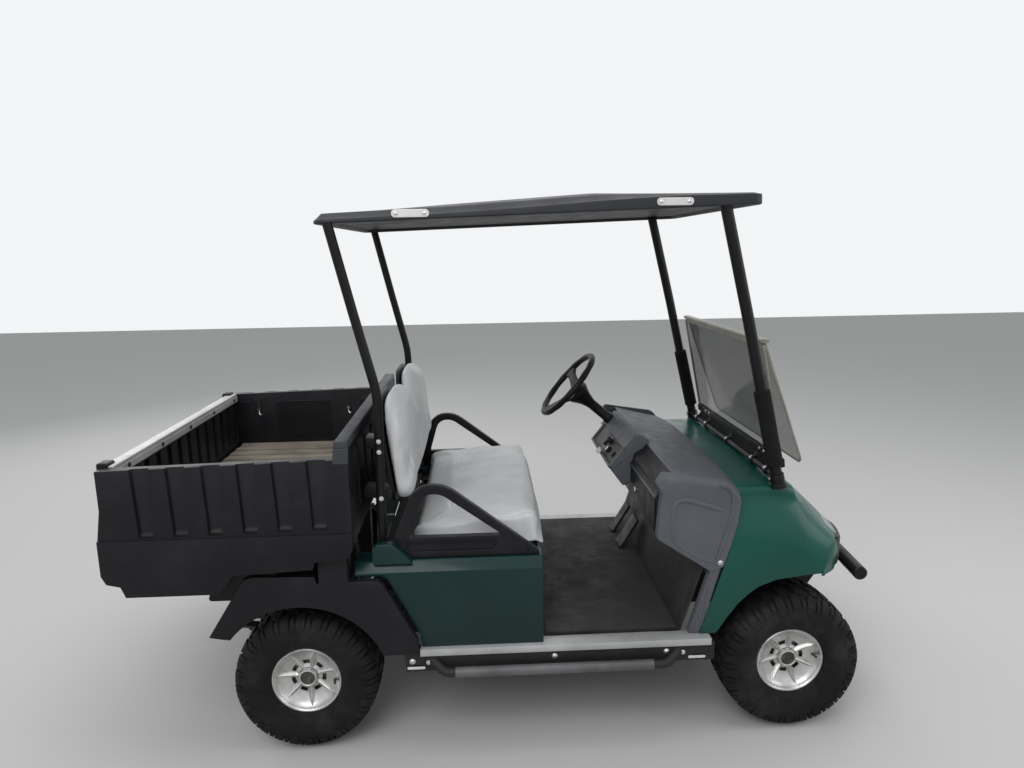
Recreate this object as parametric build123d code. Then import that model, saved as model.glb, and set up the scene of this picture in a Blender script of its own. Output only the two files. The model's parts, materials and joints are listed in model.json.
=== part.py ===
from build123d import *
import math
import os

# Small utility vehicle with a tipping cargo bed. Millimetres, +X forward, +Y to the driver's
# side, +Z up. Stations along X are measured from the rear axle while the pieces are made, and
# every piece is then moved so that the origin is on the ground under the middle of the length.

# Driving dimensions
WHEELBASE = 1665.0
REAR_REACH = 592.0
FRONT_REACH = 2030.0
HALF_WIDTH = 630.0
SEAT_GAP = 0.3
PIN_CLEARANCE = 0.06
MITRES = (0.15, 0.5, 0.85)
TUBE_SIDES = 16

# Wheels
TYRE_RADIUS = 245.0
TYRE_WIDTH = 240.0
WHEEL_Y = HALF_WIDTH - 165
TREAD_DEPTH = 11.0
TREAD_HALF = 100.0
LUG_COUNT = 20
LUG_GAP_START = 26.0
TYRE_BULGE = 178.0
TYRE_SHOULDER = 216.0
RIM_RADIUS = 118.0
RIM_BARREL = 104.0
RIM_LIP = 111.0
RIB_HALF = 7.0
HUB_RISE = 14.0
DISC_THICK = 6.0
RIM_HALF = 92.0
RIM_SPOKES = 7
RIM_SECTORS = 4
DISC_INSET = 34.0
HUB_RADIUS = 30.0
CAP_RADIUS = 24.0
CAP_LENGTH = 26.0
SPINDLE_RADIUS = 15.0
HUB_START = WHEEL_Y - 65
SPINDLE_END = WHEEL_Y + RIM_HALF - DISC_INSET + 2

# Frame
RAIL_Y = 175.0
RAIL_WIDTH = 50.0
RAIL_LOW = 290.0
RAIL_TOP = 360.0
RAIL_IN = RAIL_Y - RAIL_WIDTH / 2
RAIL_OUT = RAIL_Y + RAIL_WIDTH / 2
RAIL_REAR = -330.0
RAIL_FRONT = 1790.0
CROSS_DEPTH = 44.0
CROSS_STATIONS = (-305.0, 330.0, 900.0, 1310.0, 1480.0, 1765.0)
OUTRIGGER_STATIONS = (420.0, 860.0, 1250.0)
HITCH_BORE = 10.0
SPRING_RISE = 32.0
SILL_Y = HALF_WIDTH - 68
SILL_WIDTH = 55.0
SILL_LOW = 285.0
SILL_TOP = 350.0
SILL_REAR = 340.0
SILL_FRONT = 1385.0
SILL_WALL = 5.0
FLOOR_THICK = 8.0
FLOOR_REAR = 806.0
FLOOR_FRONT = 1285.0
TOE_TOP_X = 1360.0
TOE_TOP_Z = 598.0
MAT_THICK = 4.0
STRIP_TOP = 364.0
STRIP_HEIGHT = 24.0
STRIP_THICK = 4.0
STEP_RADIUS = 17.0
STEP_LOW_Z = 290.0

# Front axle and steering
KINGPIN_Y = WHEEL_Y - 145
KINGPIN_RADIUS = 19.0
KINGPIN_LOW = 206.0
KINGPIN_TOP = 345.0
ARM_THICK = 16.0
STEER_ARM = 110.0
STEER_ARM_IN = 20.0
TIE_ROD_Z = 265.0
TIE_ROD_RADIUS = 8.0
RACK_RADIUS = 22.0
STEERING_Y = HALF_WIDTH - 360
RIM_CENTRE_X = 992.0
RIM_CENTRE_Z = 1089.0
COLUMN_TILT = 41.0
STEERING_RIM = 158.0
STEERING_GRIP = 12.0
STEERING_SECTORS = 32
HUB_DROP = 70.0
COLUMN_RADIUS = 22.0

# Rear axle, springs and engine
AXLE_TUBE = 33.0
SPRING_Y = WHEEL_Y - 180
SPRING_WIDTH = 45.0
SPRING_REACH = 320.0
LEAF_THICK = 8.0

# Cargo bed
BED_REAR = -REAR_REACH
BED_FRONT = 195.0
BED_TOP = 1030.0
BED_FLOOR = 776.0
BED_WALL = 46.0
FLOOR_BOARD = 28.0
LEDGE_Z = 795.0
LEDGE_STEP = 7.0
FLUTE_COUNT = 6
FLUTE_PITCH = 107.5
FLUTE_FIRST = -443.0
FLUTE_TOP = 54.0
FLUTE_FOOT = 38.0
FLUTE_DEPTH = 22.0
FRONT_WALL_TOP = 1092.0
FRONT_WALL = 40.0
GATE_THICK = 34.0
GATE_GAP = 5.5
GATE_REAR = BED_REAR + 18
GATE_LOW = BED_FLOOR - 6
GATE_PIN = 4.5
GATE_PIVOT_X = GATE_REAR + 8
GATE_PIVOT_Z = GATE_LOW + 8
PIVOT_X = -300.0
PIVOT_Z = 640.0
PIVOT_PIN = 10.0
SUBFRAME_TOP = BED_FLOOR - FLOOR_BOARD
SUBFRAME_HEIGHT = 50.0
BED_LIFT_GAP = 0.3

# Body
SIDE_Y = HALF_WIDTH - 55
PANEL = 8.0
DECK_Z = 665.0
SHOULDER_Z = 633.0
SHOULDER_IN = 27.0
BODY_FRONT = 804.0
FENDER_Y = HALF_WIDTH - 30
FENDER_INNER = FENDER_Y - 160
FENDER_WALL = 6.0
ARCH_RADIUS = 290.0
COWL_Y = HALF_WIDTH - 68
CHEEK_THICK = 34.0
COWL_WALL = 8.0
COWL_ARCH = 300.0
NOSE_X = 1945.0

# Seat
SEAT_HALF = HALF_WIDTH - 150
DECK_INNER = SEAT_HALF - 10
SEAT_REAR = 398.0
SEAT_FRONT = 814.0
SEAT_TOP = 752.0
PAN_THICK = 11.0
PAN_Z = 656.0
BACK_X = 430.0
BACK_Z = 868.0
BACK_LEAN = 12.0
BACK_THICK = 66.0
SHELL_THICK = 12.0
LID_PIVOT_X = 375.0
LID_PIVOT_Z = 645.0
LID_PIN = 6.0

# Canopy and its posts
ROOF_REAR = 107.0
ROOF_FRONT = 1518.0
ROOF_LOW_REAR = 1754.0
ROOF_LOW_FRONT = 1796.0
POST_Y = HALF_WIDTH - 142
ROOF_HALF = POST_Y + 30
REAR_POST_Y = SEAT_HALF + 30
REAR_POST_X = 272.0
FRONT_POST_RADIUS = 19.0
REAR_POST_RADIUS = 15.5
SCREEN_HALF = POST_Y - 30
PANE_THICK = 5.0

# Seam between the painted cowl and the grey cheek, from the floor up: station, height
COWL_SEAM = [(1342, 366), (1437, 669), (1460, 763), (1469, 857), (1428, 920)]

FLOOR_HALF = COWL_Y - 1 - CHEEK_THICK - SEAT_GAP
CENTRE_X = (FRONT_REACH - REAR_REACH) / 2
FRONT_AXLE = WHEELBASE
SIDES = (-1, 1)


# Shape helpers
def side_profile(points, y_low, y_high, radii=None):
    """Solid whose outline seen from the side is points (x, z), between two widths."""
    corners = [(x, y_low, z) for x, z in points]
    if radii:
        outline = FilletPolyline(*corners, radius=radii, close=True)
    else:
        outline = Polyline(*corners, close=True)
    return extrude(make_face(outline), amount=y_high - y_low, dir=(0, 1, 0))


def plan_profile(points, z_low, z_high, radii=None):
    """Solid whose outline seen from above is points (x, y), between two heights."""
    corners = [(x, y, z_low) for x, y in points]
    if radii:
        outline = FilletPolyline(*corners, radius=radii, close=True)
    else:
        outline = Polyline(*corners, close=True)
    return extrude(make_face(outline), amount=z_high - z_low, dir=(0, 0, 1))


def front_profile(points, x_low, x_high, radii=None):
    """Solid whose outline seen from the front is points (y, z), between two stations."""
    corners = [(x_low, y, z) for y, z in points]
    if radii:
        outline = FilletPolyline(*corners, radius=radii, close=True)
    else:
        outline = Polyline(*corners, close=True)
    return extrude(make_face(outline), amount=x_high - x_low, dir=(1, 0, 0))


def block(x_low, x_high, y_low, y_high, z_low, z_high):
    """Plain block between two opposite corners."""
    size = (x_high - x_low, y_high - y_low, z_high - z_low)
    return Pos(x_low, y_low, z_low) * Box(*size, align=(Align.MIN, Align.MIN, Align.MIN))


def rod(start, end, radius):
    """Round bar between two points."""
    line = Edge.make_line(start, end)
    return extrude(Plane(line @ 0, z_dir=line % 0) * Circle(radius), amount=line.length)


def bar(start, end, radius, sides=12):
    """Bar with flat sides between two points, its corners on the radius."""
    line = Edge.make_line(start, end)
    return extrude(Plane(line @ 0, z_dir=line % 0) * RegularPolygon(radius, sides), amount=line.length)


def bend_points(before, corner, after, radius):
    """Places along the arc that rounds a corner, in order: near its start, its middle and its end."""
    arrive = (Vector(*corner) - Vector(*before)).normalized()
    leave = (Vector(*after) - Vector(*corner)).normalized()
    turn = math.acos(max(-1.0, min(1.0, arrive.dot(leave))))
    centre = Vector(*corner) + (leave - arrive).normalized() * (radius / math.cos(turn / 2))
    reach = radius * math.tan(turn / 2)
    start = Vector(*corner) - arrive * reach - centre
    end = Vector(*corner) + leave * reach - centre
    return [centre + (start * math.sin((1 - t) * turn) + end * math.sin(t * turn)) * (1 / math.sin(turn))
            for t in MITRES]


def bent_tube(points, radius, bends):
    """Round bar with flat facets along straight runs; each bend is a chain of mitred runs."""
    places = [Vector(*points[0])]
    for before, corner, after, bend in zip(points, points[1:], points[2:], bends):
        places += bend_points(before, corner, after, bend)
    places.append(Vector(*points[-1]))
    runs = [(end - start).normalized() for start, end in zip(places, places[1:])]
    first = Plane(places[0], z_dir=runs[0])
    ring = [first.from_local_coords(Vector(radius * math.cos(turn), radius * math.sin(turn), 0))
            for turn in [2 * math.pi * k / TUBE_SIDES for k in range(TUBE_SIDES)]]
    rings = [ring]
    for index, run in enumerate(runs):
        after = runs[index + 1] if index + 1 < len(runs) else run
        across = (run + after).normalized()
        rings.append([spot + run * ((places[index + 1] - spot).dot(across) / run.dot(across))
                      for spot in rings[-1]])
    faces = [make_face(Polyline(*rings[0], close=True)).face(), make_face(Polyline(*rings[-1], close=True)).face()]
    for near, far in zip(rings, rings[1:]):
        for k in range(TUBE_SIDES):
            n = (k + 1) % TUBE_SIDES
            faces.append(make_face(Polyline(near[k], near[n], far[n], far[k], close=True)).face())
    return Solid(Shell(faces))


def other_side(shape):
    """The same piece on the passenger's side."""
    return mirror(shape, about=Plane.XZ)


def both(shape):
    """A driver's side piece and its mirror image."""
    return [shape, other_side(shape)]


def emit(name, *shapes):
    """Write one sub-part, moved so that the origin is under the middle of the length."""
    solids = [solid for shape in shapes for solid in shape.solids()]
    moved = [solid.moved(Location((-CENTRE_X, 0, 0))) for solid in solids]
    piece = moved[0] if len(moved) == 1 else Compound(children=moved)
    export_step(piece, f"parts/{name}.step")


# Wheels
def faceted_ring(profile, count):
    """Ring about the X axis with flat faces; profile is a closed line of (x, radius) pairs."""
    return flat_faced([profile] * count, [])


def flat_faced(profiles, walls):
    """Ring about the X axis made of equal sectors.

    Each sector has its own closed profile of (x, radius) pairs, and walls holds, for each edge
    between two sectors, the flat outlines that close the step between their profiles.
    """
    count = len(profiles)
    turns = [2 * math.pi * k / count for k in range(count + 1)]

    def corner(x, radius, turn):
        return (x, radius * math.cos(turn), radius * math.sin(turn))

    faces = []
    for index, profile in enumerate(profiles):
        a, b = turns[index], turns[index + 1]
        for (x0, r0), (x1, r1) in zip(profile, profile[1:] + profile[:1]):
            outline = Polyline(corner(x0, r0, a), corner(x0, r0, b), corner(x1, r1, b), corner(x1, r1, a),
                               close=True)
            faces.append(make_face(outline).face())
    for index, outlines in enumerate(walls):
        for outline in outlines:
            edge = Polyline(*[corner(x, radius, turns[index]) for x, radius in outline], close=True)
            faces.append(make_face(edge).face())
    return Solid(Shell(faces))


def tyre():
    """Tyre on its own axis: bulged sidewalls under two rows of staggered tread blocks."""
    half = TYRE_WIDTH / 2
    bead = (RIM_RADIUS + SEAT_GAP) / math.cos(math.pi / (2 * LUG_COUNT))
    floor = TYRE_RADIUS - TREAD_DEPTH
    bulge = (half, TYRE_BULGE)
    lug = [(LUG_GAP_START, floor), (LUG_GAP_START, TYRE_RADIUS), (TREAD_HALF, TYRE_RADIUS),
           (half - 4, TYRE_SHOULDER), bulge]
    gap = [(LUG_GAP_START, floor), (TREAD_HALF - 2, floor), (half - 11, TYRE_SHOULDER - 4), bulge]
    foot = [(RIM_HALF - 6, bead), (6 - RIM_HALF, bead)]

    def far(line):
        return [(-x, radius) for x, radius in reversed(line)]

    lug_near = lug + foot + far(gap)
    lug_far = gap + foot + far(lug)
    step = lug + gap[-2:0:-1]
    profiles = [lug_near, lug_far] * LUG_COUNT
    walls = [[step, [(-x, radius) for x, radius in step]]] * (2 * LUG_COUNT)
    return Rot(Z=90) * flat_faced(profiles, walls)


def rim():
    """Eight inch rim: flanged barrel, dished disc with raised pointed ribs and small windows."""
    disc_x = RIM_HALF - DISC_INSET
    bore = SPINDLE_RADIUS + PIN_CLEARANCE
    hub_in = HUB_START - WHEEL_Y
    core = bore - 5
    section = [(-RIM_HALF, RIM_BARREL), (-RIM_HALF, RIM_RADIUS), (RIM_HALF, RIM_RADIUS), (RIM_HALF, RIM_LIP),
               (disc_x, HUB_RADIUS + 4), (disc_x + HUB_RISE, HUB_RADIUS), (disc_x + HUB_RISE, CAP_RADIUS),
               (disc_x + 4, CAP_RADIUS), (disc_x + 4, core), (hub_in, core), (hub_in, HUB_RADIUS),
               (disc_x - DISC_THICK, HUB_RADIUS), (disc_x - DISC_THICK, RIM_BARREL)]
    wheel = faceted_ring(section, RIM_SPOKES * RIM_SECTORS)
    wheel -= rod((hub_in - 1, 0, 0), (disc_x + 5, 0, 0), bore)
    step = 360 / RIM_SPOKES
    window = Pos(disc_x, 0, HUB_RADIUS + 22) * Box(70, 18, 14)
    windows = [Rot(X=step * (i + 0.5)) * window for i in range(RIM_SPOKES)]
    root = HUB_RADIUS - 1
    tip = RIM_LIP - 4
    side = extrude(make_face(Polyline((disc_x - 4, 0, root), (disc_x + 11, 0, root), (RIM_HALF - 5, 0, tip),
                                      (disc_x - 4, 0, tip), close=True)), amount=20, dir=(0, 1, 0), both=True)
    plan = extrude(make_face(Polyline((disc_x - 5, -6, root - 1), (disc_x - 5, 6, root - 1),
                                      (disc_x - 5, RIB_HALF, tip - 30), (disc_x - 5, 0.5, tip + 1),
                                      (disc_x - 5, -0.5, tip + 1), (disc_x - 5, -RIB_HALF, tip - 30),
                                      close=True)), amount=60, dir=(1, 0, 0))
    rib = side & plan
    ribs = [Rot(X=step * i) * rib for i in range(RIM_SPOKES)]
    return Rot(Z=90) * (wheel - windows + ribs)


def hub_cap():
    """Dark centre cap that closes the hub in front of the spindle's end."""
    disc_x = RIM_HALF - DISC_INSET
    start = disc_x + 4 + SEAT_GAP
    sides = RIM_SPOKES * RIM_SECTORS
    reach = (CAP_RADIUS - SEAT_GAP) * math.cos(math.pi / sides)
    cap = extrude(Plane((start, 0, 0), x_dir=(0, 1, 0), z_dir=(1, 0, 0)) * RegularPolygon(reach, sides),
                  amount=CAP_LENGTH)
    cap = chamfer(cap.faces().sort_by(Axis.X)[-1].edges(), 4)
    return Rot(Z=90) * cap


def wheel_set():
    """Tyre, rim and cap of each of the four wheels."""
    tyre_shape = tyre()
    rim_shape = rim()
    cap_shape = hub_cap()
    places = {"rear": 0.0, "front": FRONT_AXLE}
    for row, station in places.items():
        move = Pos(station, WHEEL_Y, TYRE_RADIUS)
        left = (move * tyre_shape, move * rim_shape, move * cap_shape)
        emit(f"tyre_{row}_left", left[0])
        emit(f"rim_{row}_left", left[1], left[2])
        emit(f"tyre_{row}_right", other_side(left[0]))
        emit(f"rim_{row}_right", other_side(left[1]), other_side(left[2]))


# Frame
def frame_rails():
    """Two long straight rails."""
    return both(block(RAIL_REAR, RAIL_FRONT, RAIL_IN, RAIL_OUT, RAIL_LOW, RAIL_TOP))


def cross_members():
    """Members between the rails, outriggers to the sills and hangers over the rear springs."""
    low = RAIL_LOW + 12
    members = [block(x - CROSS_DEPTH / 2, x + CROSS_DEPTH / 2, -RAIL_IN, RAIL_IN, low, RAIL_TOP - 10)
               for x in CROSS_STATIONS]
    members.append(block(FRONT_AXLE - 50, FRONT_AXLE + 70, -RAIL_IN, RAIL_IN, low, RAIL_TOP))
    sill_in = SILL_Y - SILL_WIDTH / 2
    for station in OUTRIGGER_STATIONS:
        members += both(block(station - 25, station + 25, RAIL_OUT, sill_in, SILL_LOW + 10, SILL_TOP))
    for station in (-SPRING_REACH, SPRING_REACH):
        members += both(block(station - 25, station + 25, RAIL_OUT, SPRING_Y + SPRING_WIDTH / 2,
                              hanger_z(), RAIL_TOP))
    return members


def frame_brackets():
    """Uprights with the bed's pins, rests under the bed, stays of the fenders and shock towers."""
    upright = block(PIVOT_X - 30, PIVOT_X + 20, RAIL_IN, RAIL_OUT, RAIL_TOP, PIVOT_Z + 22)
    pin = rod((PIVOT_X, RAIL_OUT, PIVOT_Z), (PIVOT_X, RAIL_OUT + 22, PIVOT_Z), PIVOT_PIN)
    rest_top = SUBFRAME_TOP - SUBFRAME_HEIGHT - BED_LIFT_GAP
    rest = block(75, 125, RAIL_IN, RAIL_OUT, RAIL_TOP, rest_top)
    stay_end = FENDER_INNER - SEAT_GAP
    front_stay = block(80, 120, RAIL_OUT, stay_end, 604, 615)
    rear_stay = block(PIVOT_X + 8, PIVOT_X + 56, RAIL_OUT, stay_end, 500, 510)
    tower_x = FRONT_AXLE + 50
    tower = block(tower_x - 18, tower_x + 18, RAIL_IN, RAIL_OUT, RAIL_TOP, RAIL_TOP + 82)
    arm = block(tower_x - 18, tower_x + 18, RAIL_OUT, RAIL_OUT + 64, RAIL_TOP + 70, RAIL_TOP + 82)
    pieces = []
    for piece in (upright + pin, rest, front_stay, rear_stay, tower, arm):
        pieces += both(piece)
    return pieces


def hitch_tongue():
    """Flat tongue behind the last cross member with the hole for a drawbar pin."""
    tongue = block(RAIL_REAR - 150, RAIL_REAR + 25 - CROSS_DEPTH / 2, -30, 30, RAIL_LOW + 16, RAIL_LOW + 30)
    hole = Pos(RAIL_REAR - 125, 0, RAIL_LOW + 23) * Cylinder(HITCH_BORE, 40)
    return tongue - hole


def hanger_z():
    """Height of the spring hangers' underside, just over the spring's raised ends."""
    return TYRE_RADIUS + AXLE_TUBE + 8 + SPRING_RISE + LEAF_THICK + 2 * SEAT_GAP


def side_sills():
    """Black channels along the floor's edges."""
    half = SILL_WIDTH / 2
    outer = block(SILL_REAR, SILL_FRONT, SILL_Y - half, SILL_Y + half, SILL_LOW, SILL_TOP)
    inner = block(SILL_REAR - 1, SILL_FRONT + 1, SILL_Y - half - 1, SILL_Y + half - SILL_WALL,
                  SILL_LOW + SILL_WALL, SILL_TOP - SILL_WALL)
    slots = [block(x, x + 38, SILL_Y, SILL_Y + half + 1, SILL_LOW + 12, SILL_LOW + 22)
             for x in (SILL_REAR + 20, SILL_FRONT - 70)]
    channel = outer - inner - slots
    for station in OUTRIGGER_STATIONS:
        seat = block(station - 25 - SEAT_GAP, station + 25 + SEAT_GAP, SILL_Y - half - 1,
                     SILL_Y - half + SEAT_GAP, SILL_LOW - 1, SILL_TOP + 1)
        channel -= seat
    return both(channel)


def floor_pan():
    """Flat floor with the toe board rising in front."""
    low = SILL_TOP + SEAT_GAP + 10
    outline = [(FLOOR_REAR, low), (FLOOR_FRONT, low), (TOE_TOP_X, TOE_TOP_Z),
               (TOE_TOP_X - FLOOR_THICK, TOE_TOP_Z), (FLOOR_FRONT - 6, low + FLOOR_THICK),
               (FLOOR_REAR, low + FLOOR_THICK)]
    return side_profile(outline, -FLOOR_HALF, FLOOR_HALF)


def floor_mat():
    """Rubber mat on the floor, turned up a little in front."""
    low = SILL_TOP + 2 * SEAT_GAP + 10 + FLOOR_THICK
    outline = [(FLOOR_REAR + 12, low), (FLOOR_FRONT - 14, low), (FLOOR_FRONT - 14, low + MAT_THICK),
               (FLOOR_REAR + 12, low + MAT_THICK)]
    return side_profile(outline, -FLOOR_HALF + 4, FLOOR_HALF - 4)


def rocker_strips():
    """Bright angle strips along the floor's outer edges."""
    sill_out = SILL_Y + SILL_WIDTH / 2 + SEAT_GAP
    outline = [(sill_out, STRIP_TOP - STRIP_HEIGHT), (sill_out + STRIP_THICK, STRIP_TOP - STRIP_HEIGHT),
               (sill_out + STRIP_THICK, STRIP_TOP), (FLOOR_HALF + 8, STRIP_TOP),
               (FLOOR_HALF + 8, STRIP_TOP - STRIP_THICK), (sill_out, STRIP_TOP - STRIP_THICK)]
    pad = [(SILL_Y - 18, SILL_TOP + SEAT_GAP), (SILL_Y + 18, SILL_TOP + SEAT_GAP),
           (SILL_Y + 18, STRIP_TOP - STRIP_THICK), (SILL_Y - 18, STRIP_TOP - STRIP_THICK)]
    strip = front_profile(outline, SILL_REAR + 50, SILL_FRONT - 12)
    strip += front_profile(pad, SILL_REAR + 50, SILL_FRONT - 12)
    return both(strip)


def side_steps():
    """Round step bars bolted to the sills by a plate at each end."""
    outer = SILL_Y + SILL_WIDTH / 2 + SEAT_GAP
    bar_y = HALF_WIDTH - STEP_RADIUS
    rear = SILL_REAR + 85
    front = SILL_FRONT - 118
    path = [(rear, outer + 3, 324), (rear + 78, bar_y, STEP_LOW_Z), (front - 78, bar_y, STEP_LOW_Z),
            (front, outer + 3, 324)]
    step = bent_tube(path, STEP_RADIUS, [60, 60])
    step += [block(x - 22, x + 22, outer, outer + 6, 302, 338) for x in (rear, front)]
    step -= block(rear - 60, front + 60, outer - 60, outer, 200, 400)
    return both(step)


def leaf_pack(half_reach, centre_z, rise, width, count):
    """Stack of arched leaves along X, each shorter than the one above it."""
    pack = None
    for index in range(count):
        reach = half_reach * (1 - 0.22 * index)
        share = rise * (reach / half_reach) ** 2
        low = centre_z - LEAF_THICK * index
        bottom = ThreePointArc((-reach, 0, low + share), (0, 0, low), (reach, 0, low + share))
        top = ThreePointArc((reach, 0, low + share + LEAF_THICK), (0, 0, low + LEAF_THICK),
                            (-reach, 0, low + share + LEAF_THICK))
        ends = [Line(bottom @ 1, top @ 0), Line(top @ 1, bottom @ 0)]
        leaf = extrude(make_face(Curve() + bottom + top + ends), amount=width / 2, dir=(0, 1, 0), both=True)
        pack = leaf if pack is None else pack + leaf
    return pack


def rear_leaf_springs():
    """Rear springs: two leaves over the axle, their ends up under the frame's hangers."""
    low = TYRE_RADIUS + AXLE_TUBE + 8 + SEAT_GAP
    pack = leaf_pack(SPRING_REACH + 20, low + LEAF_THICK, SPRING_RISE - LEAF_THICK, SPRING_WIDTH - 4, 2)
    return both(Pos(0, SPRING_Y, 0) * pack)


def front_leaf_spring():
    """Transverse front spring, clamped on the cross member with its ends over the kingpins."""
    end_low = KINGPIN_TOP + SEAT_GAP
    reach = KINGPIN_Y + 10
    crown = RAIL_TOP + 16 + 2 * SEAT_GAP
    bottom = ThreePointArc((0, -reach, end_low), (0, 0, crown + 10), (0, reach, end_low))
    top = ThreePointArc((0, reach, end_low + LEAF_THICK), (0, 0, crown + 10 + LEAF_THICK),
                        (0, -reach, end_low + LEAF_THICK))
    ends = [Line(bottom @ 1, top @ 0), Line(top @ 1, bottom @ 0)]
    leaf = extrude(make_face(Curve() + bottom + top + ends), amount=25, dir=(1, 0, 0), both=True)
    clamp = block(-32, 32, -45, 45, RAIL_TOP + SEAT_GAP, crown + 10 + LEAF_THICK + 8)
    return Pos(FRONT_AXLE, 0, 0) * (leaf + clamp)


def front_arms():
    """Triangular lower arms from the rails out under the kingpins."""
    rail_out = RAIL_Y + RAIL_WIDTH / 2
    low = KINGPIN_LOW - SEAT_GAP - ARM_THICK
    plan = [(FRONT_AXLE - 105, RAIL_Y - 20), (FRONT_AXLE - 24, KINGPIN_Y + 14),
            (FRONT_AXLE + 24, KINGPIN_Y + 14), (FRONT_AXLE + 105, RAIL_Y - 20)]
    arm = plan_profile(plan, low, low + ARM_THICK)
    for x in (FRONT_AXLE - 80, FRONT_AXLE + 80):
        arm += block(x - 14, x + 14, RAIL_Y - 18, RAIL_Y + 18, low + ARM_THICK, RAIL_LOW - SEAT_GAP)
    return both(arm)


def shock_absorbers():
    """Front dampers between arm and tower, rear dampers between spring hanger and axle."""
    rail_out = RAIL_Y + RAIL_WIDTH / 2
    arm_top = KINGPIN_LOW - SEAT_GAP
    tower_low = RAIL_TOP + 70
    front = (FRONT_AXLE + 50, rail_out + 38)
    pieces = []
    body = bar((front[0], front[1], arm_top + SEAT_GAP), (front[0], front[1], arm_top + 120), 19)
    body += bar((front[0], front[1], arm_top + 120), (front[0], front[1], tower_low - SEAT_GAP), 9)
    pieces += both(body)
    return pieces


def steering_rack():
    """Rack housing between the rails, carried by a bracket, with the pinion shaft going up."""
    x = FRONT_AXLE - STEER_ARM
    housing = bar((x, -RAIL_Y + 30, TIE_ROD_Z), (x, RAIL_Y - 30, TIE_ROD_Z), RACK_RADIUS)
    housing -= rod((x, -RAIL_Y, TIE_ROD_Z), (x, RAIL_Y, TIE_ROD_Z), TIE_ROD_RADIUS + 0.3)
    for y in (-100, 100):
        housing += block(x - 87, x - RACK_RADIUS + 6, y - 15, y + 15, TIE_ROD_Z - 12, TIE_ROD_Z + 12)
        housing += block(x - 87, x - 63, y - 15, y + 15, TIE_ROD_Z, RAIL_LOW + 12 - SEAT_GAP)
    pinion = bar((x, 60, TIE_ROD_Z + RACK_RADIUS - 4), (x - 70, STEERING_Y - 130, 560), 11)
    return housing + pinion


def tie_rods():
    """Rack bar with its tie rods, which slide together; the eyes lie just under the arms."""
    x = FRONT_AXLE - STEER_ARM
    reach = KINGPIN_Y - STEER_ARM_IN
    rack = bar((x, -reach, TIE_ROD_Z), (x, reach, TIE_ROD_Z), TIE_ROD_RADIUS)
    for y in (-reach, reach):
        rack += Pos(x, y, TIE_ROD_Z) * Cylinder(13, 18)
    return rack


def knuckle(side):
    """Kingpin post with its spindle and the steering arm reaching back to the tie rod."""
    y = KINGPIN_Y
    post = Pos(FRONT_AXLE, y, (KINGPIN_LOW + KINGPIN_TOP) / 2) * Cylinder(
        KINGPIN_RADIUS, KINGPIN_TOP - KINGPIN_LOW)
    spindle = rod((FRONT_AXLE, y, TYRE_RADIUS), (FRONT_AXLE, SPINDLE_END, TYRE_RADIUS), SPINDLE_RADIUS)
    arm_low = TIE_ROD_Z + 10
    start = (FRONT_AXLE, y)
    end = (FRONT_AXLE - STEER_ARM, y - STEER_ARM_IN)
    plan = [(start[0], start[1] - 12), (end[0] - 14, end[1] - 12), (end[0] - 14, end[1] + 12),
            (start[0], start[1] + 12)]
    arm = plan_profile(plan, arm_low, arm_low + 14)
    whole = post + spindle + arm
    return whole if side > 0 else other_side(whole)


def rear_axle():
    """Axle tubes with spring pads, hub spindles and the round final drive in the middle."""
    tube_end = HUB_START - 6
    tube = bar((0, -tube_end, TYRE_RADIUS), (0, tube_end, TYRE_RADIUS), AXLE_TUBE)
    spindles = rod((0, -SPINDLE_END, TYRE_RADIUS), (0, SPINDLE_END, TYRE_RADIUS), SPINDLE_RADIUS)
    case = bar((0, -48, TYRE_RADIUS), (0, 48, TYRE_RADIUS), 84, TUBE_SIDES)
    case = chamfer([edge for end in case.faces().sort_by(Axis.Y)[::TUBE_SIDES + 1] for edge in end.edges()], 22)
    pads = [block(-35, 35, y - 24, y + 24, TYRE_RADIUS, TYRE_RADIUS + AXLE_TUBE + 8)
            for y in (-SPRING_Y, SPRING_Y)]
    return tube + spindles + case + pads


def engine():
    """Engine and its mounting plate as one plain block ahead of the axle."""
    low = RAIL_TOP - 10 + SEAT_GAP
    mass = block(340, 560, -138, 138, low, low + 235)
    return chamfer(mass.edges().filter_by(Axis.Z), 25)


# Body
def rear_body():
    """Painted body sides with a sloped shoulder and a flat deck, joined by the front panel."""
    inner = SIDE_Y - PANEL
    shoulder = SIDE_Y - SHOULDER_IN
    low = STRIP_TOP + SEAT_GAP
    section = [(SIDE_Y, low), (SIDE_Y, SHOULDER_Z), (shoulder, DECK_Z), (DECK_INNER, DECK_Z),
               (DECK_INNER, DECK_Z - PANEL), (shoulder - 4, DECK_Z - PANEL), (inner, SHOULDER_Z - 3),
               (inner, low)]
    side = front_profile(section, 186, BODY_FRONT)
    outline = [(186, 654), (186, DECK_Z), (BODY_FRONT, DECK_Z + 1), (BODY_FRONT, low), (396, low),
               (393, 408), (290, 612), (270, 622), (186, 622)]
    side = side & side_profile(outline, 400, 700)
    peak = [(246, DECK_Z - 4), (246, 716), (262, 731), (312, 731), (374, DECK_Z), (374, DECK_Z - 4)]
    side += side_profile(peak, shoulder - 6, SIDE_Y - 2)
    front = block(BODY_FRONT - PANEL, BODY_FRONT, 0, inner + 1, low, DECK_Z - 28)
    half = side + front
    return half + other_side(half)


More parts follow.
